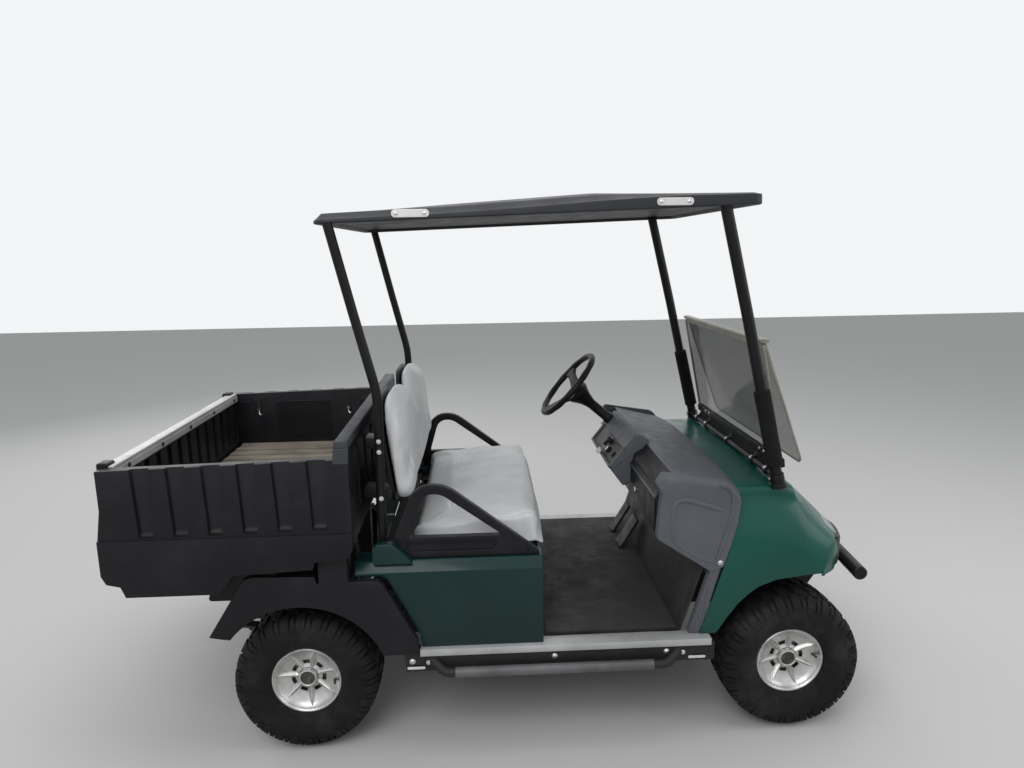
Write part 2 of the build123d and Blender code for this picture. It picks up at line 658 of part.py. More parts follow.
def seat_base():
    """Open box under the seat: two side walls, a front wall and a rear rail."""
    low = RAIL_TOP + SEAT_GAP
    high = PAN_Z - SEAT_GAP
    wall = 14
    half = DECK_INNER - SEAT_GAP
    front = BODY_FRONT - PANEL - SEAT_GAP
    box = block(330, front, -half, half, low, high)
    box -= block(330 - 1, front - wall, -half + wall, half - wall, low - 1, high - 40)
    box -= block(330 + 30, front - wall, -half + wall, half - wall, high - 60, high + 1)
    box -= block(330 - 1, LID_PIVOT_X + 30, -half + wall, half - wall, high - 20, high + 1)
    for side in SIDES:
        low_y, high_y = sorted((side * 324, side * 336))
        box += block(345, LID_PIVOT_X + 12, low_y, high_y, high - 42, LID_PIVOT_Z + 10)
        box += rod((LID_PIVOT_X, side * 325, LID_PIVOT_Z), (LID_PIVOT_X, side * 301, LID_PIVOT_Z), LID_PIN)
    return box


def rear_fenders():
    """Black arches over the rear wheels: outer face with the arch, closed top, open inside."""
    outline = [(-292, 440), (-168, 636), (-140, 646), (60, 640), (66, 616), (262, 618), (278, 606),
               (384, 405), (388, 352), (250, 352), (-250, 432)]
    outer = side_profile(outline, FENDER_INNER, FENDER_Y)
    w = FENDER_WALL
    cavity_outline = [(-284, 430), (-163, 626), (-138, 640), (54, 634), (60, 610), (256, 612), (272, 602),
                      (378, 403), (382, 340), (250, 340), (-250, 410)]
    cavity = side_profile(cavity_outline, FENDER_INNER - 1, FENDER_Y - w)
    arch = rod((0, FENDER_INNER - 2, TYRE_RADIUS), (0, FENDER_Y + 2, TYRE_RADIUS), ARCH_RADIUS)
    inner_cut = block(180, 700, FENDER_INNER - 1, SIDE_Y + SEAT_GAP, 300, 700)
    shape = outer - cavity - arch - inner_cut
    shape = shape.solids().sort_by(SortBy.VOLUME)[-1]
    riser = block(74, 168, FENDER_Y - 72, FENDER_Y, 612, 694)
    return both(shape + riser)


def hip_restraints():
    """Loop-shaped hip restraints standing on the body's deck beside the seat."""
    low = DECK_Z + SEAT_GAP
    y = SEAT_HALF + 33
    outline = [(332, low), (314, 738), (385, 914), (486, 917), (796, 676), (796, low)]
    loop = side_profile(outline, y, y + 26, [6, 20, 34, 40, 8, 3])
    opening = [(366, 737), (410, 886), (472, 886), (676, 737)]
    window = side_profile(opening, y - 1, y + 27, [5, 22, 26, 5])
    groove = side_profile([(352, 690), (640, 690), (668, 722), (352, 722)], y + 18, y + 27, [4, 12, 12, 4])
    return both(loop - window - groove)


def back_outline(half, height, inset):
    """Outline of the backrest seen square on: two humps with a saddle between them."""
    low = inset
    top = height - inset
    side = half - inset
    points = [(-side + 12, low), (side - 12, low), (side, top), (150, top), (0, top - 108),
              (-150, top), (-side, top)]
    return FilletPolyline(*points, radius=[50, 50, 130, 105, 120, 105, 130], close=True)


def back_plane(depth):
    """Plane of the backrest's front, moved back by depth; X across, Y up along the lean."""
    lean = math.radians(BACK_LEAN)
    normal = (math.cos(lean), 0, math.sin(lean))
    origin = (BACK_X - depth * normal[0], 0, BACK_Z - depth * normal[2])
    return Plane(origin=origin, x_dir=(0, 1, 0), z_dir=normal)


BACK_HEIGHT = 345.0


def seat_back():
    """Back cushion with two rounded humps."""
    face = back_plane(BACK_THICK) * make_face(back_outline(SEAT_HALF, BACK_HEIGHT, 0))
    cushion = extrude(face, amount=BACK_THICK)
    front = cushion.faces().sort_by(Axis.X)[-1]
    return chamfer(front.edges(), 20)


def seat_back_shell():
    """Black shell behind the back cushion, with arms out to the rear posts."""
    depth = BACK_THICK + SEAT_GAP + SHELL_THICK
    face = back_plane(depth) * make_face(back_outline(SEAT_HALF, BACK_HEIGHT, 8))
    shell = extrude(face, amount=SHELL_THICK)
    post_in = REAR_POST_Y - REAR_POST_RADIUS - SEAT_GAP
    for z in (905.0, 1060.0):
        x = back_plane(depth).origin.X - (z - back_plane(depth).origin.Z) * math.tan(math.radians(BACK_LEAN))
        for side in SIDES:
            low, high = sorted((side * (SEAT_HALF - 50), side * post_in))
            shell += block(REAR_POST_X - 10, x + 6, low, high, z - 16, z + 16)
    return shell


def seat_pan():
    """Board under the seat cushion, with its two hinge tongues at the rear."""
    board = block(SEAT_REAR - 6, SEAT_FRONT - 34, -SEAT_HALF + 20, SEAT_HALF - 20, PAN_Z, PAN_Z + PAN_THICK)
    for side in SIDES:
        low_y, high_y = sorted((side * 302, side * 320))
        board += block(LID_PIVOT_X, SEAT_REAR, low_y, high_y, LID_PIVOT_Z - 4, PAN_Z + PAN_THICK)
        board += rod((LID_PIVOT_X, low_y, LID_PIVOT_Z), (LID_PIVOT_X, high_y, LID_PIVOT_Z), LID_PIN + 7)
        board -= rod((LID_PIVOT_X, low_y - 1, LID_PIVOT_Z), (LID_PIVOT_X, high_y + 1, LID_PIVOT_Z),
                     LID_PIN + PIN_CLEARANCE)
    return board


def seat_bottom():
    """Bench cushion with a rounded front that hangs a little over the board."""
    low = PAN_Z + PAN_THICK + SEAT_GAP
    outline = [(SEAT_REAR, low), (SEAT_REAR + 4, SEAT_TOP - 8), (SEAT_FRONT - 6, SEAT_TOP),
               (SEAT_FRONT, PAN_Z - 6), (SEAT_FRONT - 16, PAN_Z - 6), (SEAT_FRONT - 16, low)]
    cushion = side_profile(outline, -SEAT_HALF, SEAT_HALF, [6, 26, 30, 6, 6, 3])
    plan = plan_profile([(SEAT_REAR - 1, -SEAT_HALF), (SEAT_FRONT + 1, -SEAT_HALF + 12),
                         (SEAT_FRONT + 1, SEAT_HALF - 12), (SEAT_REAR - 1, SEAT_HALF)],
                        600, 800, [40, 55, 55, 40])
    return cushion & plan


# Front
def cowl_body(grow, floor_z):
    """Solid form of the front cowl: side outline, plan and rounded shoulders cut together."""
    half = COWL_Y + grow
    side = [(1340, floor_z), (1340, 925 + grow), (1440, 921 + grow), (1600, 905 + grow),
            (1726, 872 + grow), (1735, 838 + grow), (1800, 800 + grow), (NOSE_X - 22 + grow, 660 + grow),
            (NOSE_X + grow, 600), (NOSE_X - 12 + grow, floor_z)]
    form = side_profile(side, -half - 60, half + 60, [1, 1, 40, 60, 20, 15, 60, 60, 40, 1])
    wide = half + 30
    plan = Polyline((1330, -wide, floor_z - 5), (1330, wide, floor_z - 5), (1720, wide, floor_z - 5))
    nose = ThreePointArc((1720, wide, floor_z - 5), (NOSE_X + grow, 0, floor_z - 5),
                         (1720, -wide, floor_z - 5))
    close = Line((1720, -wide, floor_z - 5), (1330, -wide, floor_z - 5))
    form = form & extrude(make_face(Curve() + plan + nose + close), amount=700, dir=(0, 0, 1))
    top_half = half - 40
    front = [(-half, floor_z - 10), (half, floor_z - 10), (half, 745), (top_half, 940 + grow),
             (-top_half, 940 + grow), (-half, 745)]
    return form & front_profile(front, 1320, 2100, [1, 1, 90, 60, 60, 90])


def front_cowl():
    """Painted front cowl: hollow, open behind and below, with the wheel arches and lamp holes."""
    low = STRIP_TOP + SEAT_GAP
    outer = cowl_body(0, low)
    inner = cowl_body(-COWL_WALL, low - 1)
    shell = outer - inner
    arch = [(1388, low - 5), (1405, 372), (1470, 470), (1540, 532), (1600, 556), (1700, 566), (1800, 570),
            (2000, 560), (2000, low - 5)]
    shell -= side_profile(arch, -700, 700, [1, 60, 90, 90, 60, 40, 1, 1, 1])
    seam = [(x + SEAT_GAP, z) for x, z in COWL_SEAM]
    rear = [(1300, low - 5), (COWL_SEAM[0][0] + SEAT_GAP, low - 5)] + seam + [(1428 + SEAT_GAP, 1000), (1300, 1000)]
    shell -= side_profile(rear, -700, 700)
    for side in SIDES:
        low_y, high_y = sorted((side * 300, side * 430))
        shell -= block(1780, 2000, low_y, high_y, 632, 690)
    return shell.solids().sort_by(SortBy.VOLUME)[-1]


def headlamps():
    """Lamp lenses filling the two holes in the nose."""
    lamp = cowl_body(3, 330) & block(1780, 2000, 300 + SEAT_GAP, 430 - SEAT_GAP, 632 + SEAT_GAP,
                                     690 - SEAT_GAP)
    lamp -= cowl_body(-14, 329)
    return both(lamp)


def dash_cowl():
    """Grey moulding: side cheeks with the strip down to the floor, and the top of the dash."""
    cheek = [(1183, 904), (1200, 936)] + COWL_SEAM[::-1] + [(1303, 366), (1370, 586), (1187, 712),
                                                            (1199, 866)]
    radii = [6, 14, 10, 30, 60, 60, 2, 2, 8, 14, 10]
    out = COWL_Y - 1
    side = side_profile(cheek, out - CHEEK_THICK, out, radii)
    deck = [(1200, 920), (1212, 934), (1428, 920), (1428, 912), (1212, 924), (1203, 908)]
    top = side_profile(deck, -out + 20, out - 20)
    return side + other_side(side) + top - column_hole()


def column_axis_point(distance):
    """Point on the steering column's axis, measured from the wheel rim's centre."""
    tilt = math.radians(COLUMN_TILT)
    return (RIM_CENTRE_X + distance * math.cos(tilt), STEERING_Y, RIM_CENTRE_Z - distance * math.sin(tilt))


def column_hole():
    """Clearance around the steering column."""
    return rod(column_axis_point(60), column_axis_point(700), COLUMN_RADIUS + SEAT_GAP)


def dash():
    """Black dash body with an open glove pocket on each side of the control pod."""
    half = COWL_Y - 1 - CHEEK_THICK - SEAT_GAP
    low = TOE_TOP_Z + SEAT_GAP
    outline = [(1192, 716), (1192, 842), (1200, 900), (1212, 912), (1400, 908), (1400, 640), (1366, low),
               (1336, low)]
    body = side_profile(outline, -half, half)
    body -= side_profile([(1204, 742), (1204, 846), (1188, 846), (1188, 860), (1286, 860), (1286, 742)],
                         -half + 24, STEERING_Y - 435)
    body -= side_profile([(1204, 742), (1204, 846), (1188, 846), (1188, 860), (1286, 860), (1286, 742)],
                         STEERING_Y + 55, half - 24)
    return body - column_hole()


def control_pod():
    """Grey control pod in front of the driver, its sloped face carrying the key switch."""
    outline = [(1100, 830), (1204, 962), (1232, 962), (1240, 935.5), (1212, 934.5), (1199, 920), (1191.7, 842),
               (1191.7, 770), (1160, 752)]
    pod = side_profile(outline, STEERING_Y - 400, STEERING_Y + 35)
    return pod - column_hole()


def steering_column():
    """Column jacket through the dash, with a flared boot."""
    start = column_axis_point(HUB_DROP + 58 + SEAT_GAP)
    end = column_axis_point(440)
    jacket = bar(start, end, COLUMN_RADIUS, TUBE_SIDES)
    return jacket


def steering_wheel():
    """Three-spoke steering wheel with its dished hub and the top of the shaft."""
    tilt = math.radians(COLUMN_TILT)
    normal = (math.cos(tilt), 0, -math.sin(tilt))
    plane = Plane(origin=column_axis_point(0), x_dir=(0, 1, 0), z_dir=normal)
    grip = [(STEERING_GRIP * math.sin(math.pi * k / 3), STEERING_RIM + STEERING_GRIP * math.cos(math.pi * k / 3))
            for k in range(6)]
    ring = Rot(Y=-90) * faceted_ring(grip, STEERING_SECTORS)
    hub = Pos(0, 0, HUB_DROP - 26) * Cylinder(34, 44, align=(Align.CENTER, Align.CENTER, Align.MIN))
    cone = Pos(0, 0, HUB_DROP + 18) * Cone(34, 20, 40, align=(Align.CENTER, Align.CENTER, Align.MIN))
    wheel = ring + hub + cone
    for angle in (0, 120, 240):
        run = Line((18, 0, HUB_DROP - 12), (STEERING_RIM, 0, 0))
        spoke = sweep(Plane(run @ 0, z_dir=run % 0) * Rectangle(12, 34), path=run)
        wheel += Rot(Z=angle + 90) * spoke
    return plane.location * wheel


def pedals():
    """Brake and accelerator: sloped pads on arms down to the floor."""
    pieces = []
    floor_top = SILL_TOP + 10 + 2 * SEAT_GAP + FLOOR_THICK + MAT_THICK + SEAT_GAP
    for y, width in ((STEERING_Y - 120, 90.0), (STEERING_Y + 60, 70.0)):
        outline = [(1205, floor_top), (1217, floor_top), (1290, floor_top + 120), (1280, floor_top + 126)]
        pad = side_profile(outline, y, y + width)
        heel = block(1200, 1226, y, y + width, floor_top, floor_top + 8)
        pieces.append(pad + heel)
    return pieces


def front_bumper():
    """Round transverse bar on two arms from the rails."""
    reach = 455
    path = [(FRONT_REACH - 78, -reach, 512), (FRONT_REACH - 25, -reach + 210, 505),
            (FRONT_REACH - 25, reach - 210, 505), (FRONT_REACH - 78, reach, 512)]
    tube = bent_tube(path, 25, [200, 200])
    arm = [(RAIL_FRONT + SEAT_GAP, RAIL_LOW), (RAIL_FRONT + SEAT_GAP, RAIL_TOP), (FRONT_REACH - 70, 515),
           (FRONT_REACH - 25, 515), (FRONT_REACH - 25, 490), (RAIL_FRONT + 60, RAIL_LOW)]
    arm_solid = side_profile(arm, RAIL_Y - 18, RAIL_Y + 18)
    return tube + both(arm_solid)


# Canopy
def roof_edge_z(x):
    """Height of the canopy's underside at a station."""
    share = (x - ROOF_REAR) / (ROOF_FRONT - ROOF_REAR)
    return ROOF_LOW_REAR + share * (ROOF_LOW_FRONT - ROOF_LOW_REAR)


def canopy():
    """Arched canopy: deep edge band, crowned top and flat underside."""
    table = [  # station, half width, edge height, crown above the edge
        (ROOF_REAR, ROOF_HALF, 32.0, 16.0),
        (500.0, ROOF_HALF, 36.0, 34.0),
        (1000.0, ROOF_HALF, 52.0, 34.0),
        (ROOF_FRONT, ROOF_HALF, 38.0, 16.0),
    ]
    sections = []
    for x, half, edge, crown in table:
        low = roof_edge_z(x)
        base = Polyline((x, half, low + edge), (x, half, low), (x, -half, low), (x, -half, low + edge))
        top = ThreePointArc((x, -half, low + edge), (x, 0, low + edge + crown), (x, half, low + edge))
        sections.append(make_face(Curve() + base + top))
    roof = loft(sections, ruled=True)
    plan = plan_profile([(ROOF_REAR - 1, -ROOF_HALF - 1), (ROOF_FRONT + 1, -ROOF_HALF - 1),
                         (ROOF_FRONT + 1, ROOF_HALF + 1), (ROOF_REAR - 1, ROOF_HALF + 1)], 1700, 1900,
                        [36, 36, 36, 36])
    return roof & plan


def canopy_posts():
    """Four bent posts: the front pair from the cowl's top, the rear pair from the body's deck."""
    front = bent_tube([(1622, POST_Y, 865), (1493, POST_Y, 1422), (1392, POST_Y, 1830)],
                      FRONT_POST_RADIUS, [600])
    y = REAR_POST_Y
    rear = bent_tube([(REAR_POST_X, y, DECK_Z + SEAT_GAP), (280, y, 1218), (216, y, 1486), (140, y, 1810)],
                     REAR_POST_RADIUS, [400, 900])
    rear -= block(200, 340, y - 40, y + 40, DECK_Z - 40, DECK_Z + SEAT_GAP)
    front -= cowl_body(SEAT_GAP, STRIP_TOP)
    cut = side_profile([(0, roof_edge_z(0) - SEAT_GAP), (1700, roof_edge_z(1700) - SEAT_GAP), (1700, 2000),
                        (0, 2000)], -700, 700)
    return both(front - cut) + both(rear - cut)


def strut_sleeves():
    """Foam sleeves round the feet of the front posts."""
    low = (1606, POST_Y, 936)
    high = (1546, POST_Y, 1194)
    bore = (FRONT_POST_RADIUS + SEAT_GAP) / math.cos(math.pi / TUBE_SIDES)
    return both(bar(low, high, 27, TUBE_SIDES) - bar((1622, POST_Y, 865), (1493, POST_Y, 1422), bore, TUBE_SIDES))


def roof_plates():
    """Small oblong plates on the canopy's side edges."""
    plates = []
    for x in (410.0, 1232.0):
        z = roof_edge_z(x) + 20
        plates.append(block(x - 58, x + 58, ROOF_HALF + SEAT_GAP, ROOF_HALF + 3, z - 12, z + 12))
    return [piece for plate in plates for piece in both(plate)]


def windscreen():
    """Tinted panes: the lower one upright, the upper one folded down in front of it."""
    lower = side_profile([(1640, 930), (1645, 930), (1561, 1349), (1556, 1349)], -SCREEN_HALF, SCREEN_HALF)
    upper = side_profile([(1566, 1349), (1571, 1349), (1723, 925), (1718, 925)], -SCREEN_HALF + 10,
                         SCREEN_HALF - 10)
    return [lower, upper]


def screen_clamps():
    """Channel under the lower pane and the hinge strip that joins the two panes."""
    foot = side_profile([(1618, 901.4), (1652, 892.4), (1652, 944), (1618, 944)], -SCREEN_HALF, SCREEN_HALF)
    foot -= side_profile([(1639.4, 929.5), (1645.7, 929.5), (1640.2, 960), (1633.6, 960)],
                         -SCREEN_HALF - 1, SCREEN_HALF + 1)
    hinge = side_profile([(1550, 1349.3), (1578, 1349.3), (1578, 1362), (1550, 1362)],
                         -SCREEN_HALF, SCREEN_HALF)
    return [foot, hinge]


# Cargo bed
def bed_tub():
    """Moulded tub: fluted side walls, taller front wall, ledge, stepped skirt and ribbed floor."""
    inner = HALF_WIDTH - BED_WALL
    front_in = BED_FRONT - FRONT_WALL
    gate_front = GATE_REAR + GATE_THICK + GATE_GAP
    outline = [(BED_REAR + 16, BED_TOP - 10), (BED_REAR + 16, 892), (BED_REAR, LEDGE_Z), (BED_REAR, 680),
               (BED_REAR + 14, 652), (BED_REAR + 56, 642), (BED_REAR + 70, 606), (-232, 606), (-186, 668),
               (66, 678), (72, 702), (174, 706), (BED_FRONT, 740), (BED_FRONT, BED_TOP + 6)]
    wall = side_profile(outline, HALF_WIDTH - 24, HALF_WIDTH)
    upper = side_profile([(BED_REAR + 16, BED_TOP - 10), (BED_REAR + 16, BED_FLOOR - FLOOR_BOARD),
                          (BED_FRONT, BED_FLOOR - FLOOR_BOARD), (BED_FRONT, BED_TOP + 6)], inner, HALF_WIDTH - 20)
    side = wall + upper
    for index in range(FLUTE_COUNT):
        x = FLUTE_FIRST + index * FLUTE_PITCH
        top = [(x - FLUTE_TOP / 2, HALF_WIDTH - FLUTE_DEPTH), (x + FLUTE_TOP / 2, HALF_WIDTH - FLUTE_DEPTH),
               (x + FLUTE_TOP / 2 + 5, HALF_WIDTH + 1), (x - FLUTE_TOP / 2 - 5, HALF_WIDTH + 1)]
        foot = [(x - FLUTE_FOOT / 2, HALF_WIDTH - FLUTE_DEPTH), (x + FLUTE_FOOT / 2, HALF_WIDTH - FLUTE_DEPTH),
                (x + FLUTE_FOOT / 2 + 5, HALF_WIDTH + 1), (x - FLUTE_FOOT / 2 - 5, HALF_WIDTH + 1)]
        low_z = LEDGE_Z + 18
        sections = [make_face(Polyline(*[(px, py, z) for px, py in points], close=True))
                    for points, z in ((foot, low_z), (top, BED_TOP + 10))]
        side -= loft(sections, ruled=True)
    tub = side + other_side(side)
    tub += block(front_in, BED_FRONT, -HALF_WIDTH, HALF_WIDTH, BED_FLOOR - FLOOR_BOARD, FRONT_WALL_TOP - 22)
    tub += block(BED_REAR + 16, front_in + 1, -inner - 1, inner + 1, BED_FLOOR - FLOOR_BOARD, BED_FLOOR)
    step = block(BED_REAR - 1, BED_FRONT + 1, HALF_WIDTH - LEDGE_STEP, HALF_WIDTH + 1, LEDGE_Z, FRONT_WALL_TOP)
    tub -= [step, other_side(step)]
    tub -= block(BED_REAR - 1, gate_front, -inner, inner, GATE_LOW - GATE_GAP, BED_TOP + 60)
    for side in SIDES:
        tub += rod((GATE_PIVOT_X, side * (inner + 1), GATE_PIVOT_Z),
                   (GATE_PIVOT_X, side * (inner - GATE_GAP - 12), GATE_PIVOT_Z), GATE_PIN)
    flute = block(BED_FRONT - 14, BED_FRONT + 1, -22, 22, LEDGE_Z + 30, FRONT_WALL_TOP - 60)
    tub -= [Pos(0, y, 0) * flute for y in (-450, -300, -150, 0, 150, 300, 450)]
    return tub


def bed_front_cap():
    """Grey capping rail along the top of the front wall."""
    low = FRONT_WALL_TOP - 22 + SEAT_GAP
    outline = [(BED_FRONT - FRONT_WALL - 4, low), (BED_FRONT + 4, low), (BED_FRONT, FRONT_WALL_TOP + 3),
               (BED_FRONT - FRONT_WALL, FRONT_WALL_TOP + 3)]
    return side_profile(outline, LEDGE_STEP - HALF_WIDTH, HALF_WIDTH - LEDGE_STEP)


def bed_subframe():
    """Two channels under the bed floor with the lugs that turn on the frame's pins."""
    top = SUBFRAME_TOP - SEAT_GAP
    low = SUBFRAME_TOP - SUBFRAME_HEIGHT
    rail_in = RAIL_Y - RAIL_WIDTH / 2
    rail_out = RAIL_Y + RAIL_WIDTH / 2
    rail = block(BED_REAR + 70, BED_FRONT - 60, rail_in, rail_out + 16, low, top)
    lug = block(PIVOT_X - 24, PIVOT_X + 24, rail_out + 4, rail_out + 16, PIVOT_Z, low + 1)
    lug += rod((PIVOT_X, rail_out + 4, PIVOT_Z), (PIVOT_X, rail_out + 16, PIVOT_Z), 24)
    lug -= rod((PIVOT_X, rail_out, PIVOT_Z), (PIVOT_X, rail_out + 20, PIVOT_Z), PIVOT_PIN + PIN_CLEARANCE)
    half = rail + lug
    cross = [block(x, x + 40, -rail_in - 1, rail_in + 1, low + 10, top) for x in (BED_REAR + 70, -240, BED_FRONT - 100)]
    return half + other_side(half) + cross


def tailgate():
    """Ribbed tailgate between the bed's side walls, hinged at its foot."""
    half = HALF_WIDTH - BED_WALL - GATE_GAP
    low = GATE_LOW
    rear = GATE_REAR
    panel = block(rear, rear + GATE_THICK, -half, half, low, BED_TOP - 20)
    groove = block(rear + GATE_THICK - 10, rear + GATE_THICK + 1, -18, 18, low + 30, BED_TOP - 50)
    count = 13
    pitch = (2 * half - 80) / (count - 1)
    panel -= [Pos(0, -half + 40 + pitch * i, 0) * groove for i in range(count)]
    for side in SIDES:
        panel -= rod((GATE_PIVOT_X, side * (half + 1), GATE_PIVOT_Z),
                     (GATE_PIVOT_X, side * (half - 14), GATE_PIVOT_Z), GATE_PIN + PIN_CLEARANCE)
    return panel


def tailgate_rail():
    """Bright rail along the tailgate's top edge."""
    half = HALF_WIDTH - BED_WALL - GATE_GAP
    rear = GATE_REAR
    low = BED_TOP - 20 + SEAT_GAP
    return block(rear - 2, rear + GATE_THICK + 2, -half, half, low, low + 14)


def build():
    os.makedirs("parts", exist_ok=True)
    wheel_set()
    emit("frame_rails", *frame_rails())
    emit("cross_members", *cross_members())
    emit("frame_brackets", *frame_brackets())
    emit("hitch_tongue", hitch_tongue())
    emit("side_sills", *side_sills())
    emit("floor_pan", floor_pan())
    emit("floor_mat", floor_mat())
    emit("rocker_strips", *rocker_strips())
    emit("side_steps", *side_steps())
    emit("rear_leaf_springs", *rear_leaf_springs())
    emit("front_leaf_spring", front_leaf_spring())
    emit("front_arms", *front_arms())
    emit("shock_absorbers", *shock_absorbers())
    emit("steering_rack", steering_rack())
    emit("tie_rods", tie_rods())
    emit("knuckle_left", knuckle(1))
    emit("knuckle_right", knuckle(-1))
    emit("rear_axle", rear_axle())
    emit("engine", engine())
    emit("rear_body", rear_body())
    emit("seat_base", seat_base())
    emit("rear_fenders", *rear_fenders())
    emit("hip_restraints", *hip_restraints())
    emit("seat_back", seat_back())
    emit("seat_back_shell", seat_back_shell())
    emit("seat_pan", seat_pan())
    emit("seat_bottom", seat_bottom())
    emit("front_cowl", front_cowl())
    emit("headlamps", *headlamps())
    emit("dash_cowl", dash_cowl())
    emit("dash", dash())
    emit("control_pod", control_pod())
    emit("steering_column", steering_column())
    emit("steering_wheel", steering_wheel())
    emit("pedals", *pedals())
    emit("front_bumper", front_bumper())
    emit("canopy", canopy())
    emit("canopy_posts", *canopy_posts())
    emit("strut_sleeves", *strut_sleeves())
    emit("roof_plates", *roof_plates())
    emit("windscreen", *windscreen())
    emit("screen_clamps", *screen_clamps())
    emit("bed_tub", bed_tub())
    emit("bed_front_cap", bed_front_cap())
    emit("bed_subframe", bed_subframe())
    emit("tailgate", tailgate())
    emit("tailgate_rail", tailgate_rail())


build()
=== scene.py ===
import json
import math

import bmesh
import bpy
import numpy as np
from mathutils import Matrix, Vector
from mathutils.bvhtree import BVHTree


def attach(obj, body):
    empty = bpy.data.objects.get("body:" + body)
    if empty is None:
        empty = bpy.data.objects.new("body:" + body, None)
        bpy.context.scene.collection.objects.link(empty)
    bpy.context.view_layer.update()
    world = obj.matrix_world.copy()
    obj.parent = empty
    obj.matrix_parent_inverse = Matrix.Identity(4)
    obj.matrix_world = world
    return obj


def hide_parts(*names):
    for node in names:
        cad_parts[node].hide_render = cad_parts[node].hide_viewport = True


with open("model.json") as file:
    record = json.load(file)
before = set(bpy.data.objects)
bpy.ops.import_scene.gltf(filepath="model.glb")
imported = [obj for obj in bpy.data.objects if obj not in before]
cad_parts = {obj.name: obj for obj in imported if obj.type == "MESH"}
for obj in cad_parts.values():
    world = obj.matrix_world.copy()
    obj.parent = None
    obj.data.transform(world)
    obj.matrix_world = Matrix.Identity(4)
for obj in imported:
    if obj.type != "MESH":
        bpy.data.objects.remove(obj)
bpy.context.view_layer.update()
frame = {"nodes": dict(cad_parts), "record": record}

# Stations are metres forward of the rear axle; the row frame starts at mid length
MID_LENGTH = 0.719
NODES = frame["nodes"]
SLOTS = {entry["node"]: entry["material_slot"] for entry in frame["record"]["subparts"]}
SIDES = (1, -1)


def at(station, y, z):
    """Point of the row frame from a station forward of the rear axle."""
    return Vector((station - MID_LENGTH, y, z))


def new_piece(name, data):
    """Object in the scene."""
    piece = bpy.data.objects.new(name, data)
    bpy.context.scene.collection.objects.link(piece)
    return piece


# Camera: place, heading and lens of the photograph
CAMERA_PLACE = at(0.616, -2.771, 1.664)
CAMERA_YAW = math.radians(2.49)
CAMERA_DOWN = math.radians(10.58)
CAMERA_ROLL = math.radians(-0.95)
SENSOR = 36.0
FOCAL_PIXELS = 711.8
PICTURE_WIDTH = 1024
LENS = FOCAL_PIXELS * SENSOR / PICTURE_WIDTH


def make_camera():
    """Camera at the photograph's viewing angle."""
    forward = Vector((math.sin(CAMERA_YAW) * math.cos(CAMERA_DOWN),
                      math.cos(CAMERA_YAW) * math.cos(CAMERA_DOWN),
                      -math.sin(CAMERA_DOWN)))
    level = Vector((math.cos(CAMERA_YAW), -math.sin(CAMERA_YAW), 0))
    upright = level.cross(forward)
    right = level * math.cos(CAMERA_ROLL) + upright * math.sin(CAMERA_ROLL)
    up = -level * math.sin(CAMERA_ROLL) + upright * math.cos(CAMERA_ROLL)
    data = bpy.data.cameras.new("camera")
    data.sensor_width = SENSOR
    data.lens = LENS
    data.clip_end = 100
    camera = new_piece("camera", data)
    camera.matrix_world = Matrix((
        (right.x, up.x, -forward.x, CAMERA_PLACE.x),
        (right.y, up.y, -forward.y, CAMERA_PLACE.y),
        (right.z, up.z, -forward.z, CAMERA_PLACE.z),
        (0, 0, 0, 1)))
    bpy.context.scene.camera = camera


# Lamps: name, place, target, size and power
LAMPS = [
    ("key", (-1.6, -4.2, 4.6), (0, 0, 0.7), 3.5, 110),
    ("sky", (0.4, 0.6, 5.2), (0, 0, 0.5), 4.5, 110),
    ("front", (4.6, -1.5, 2.6), (0.3, 0, 0.7), 2.5, 32),
    ("back", (-3.8, 3.6, 3.2), (0, 0, 0.8), 3.0, 40),
]
FLOOR_REACH = 14


def area_light(name, place, target, size, power):
    """Soft square lamp that faces its target."""
    data = bpy.data.lights.new(name, "AREA")
    data.size = size
    data.energy = power
    lamp = new_piece(name, data)
    lamp.location = place
    lamp.rotation_euler = (Vector(target) - Vector(place)).to_track_quat("-Z", "Y").to_euler()


# Shader nodes
def feed(tree, node, inputs):
    """Sets or links the inputs of a node: each is a value or a socket."""
    for key, value in inputs.items():
        if isinstance(value, bpy.types.NodeSocket):
            tree.links.new(value, node.inputs[key])
        else:
            node.inputs[key].default_value = value


def add_node(tree, kind, inputs=None, **settings):
    """Shader node with its settings and inputs."""
    node = tree.nodes.new("ShaderNode" + kind)
    for key, value in settings.items():
        setattr(node, key, value)
    feed(tree, node, inputs or {})
    return node


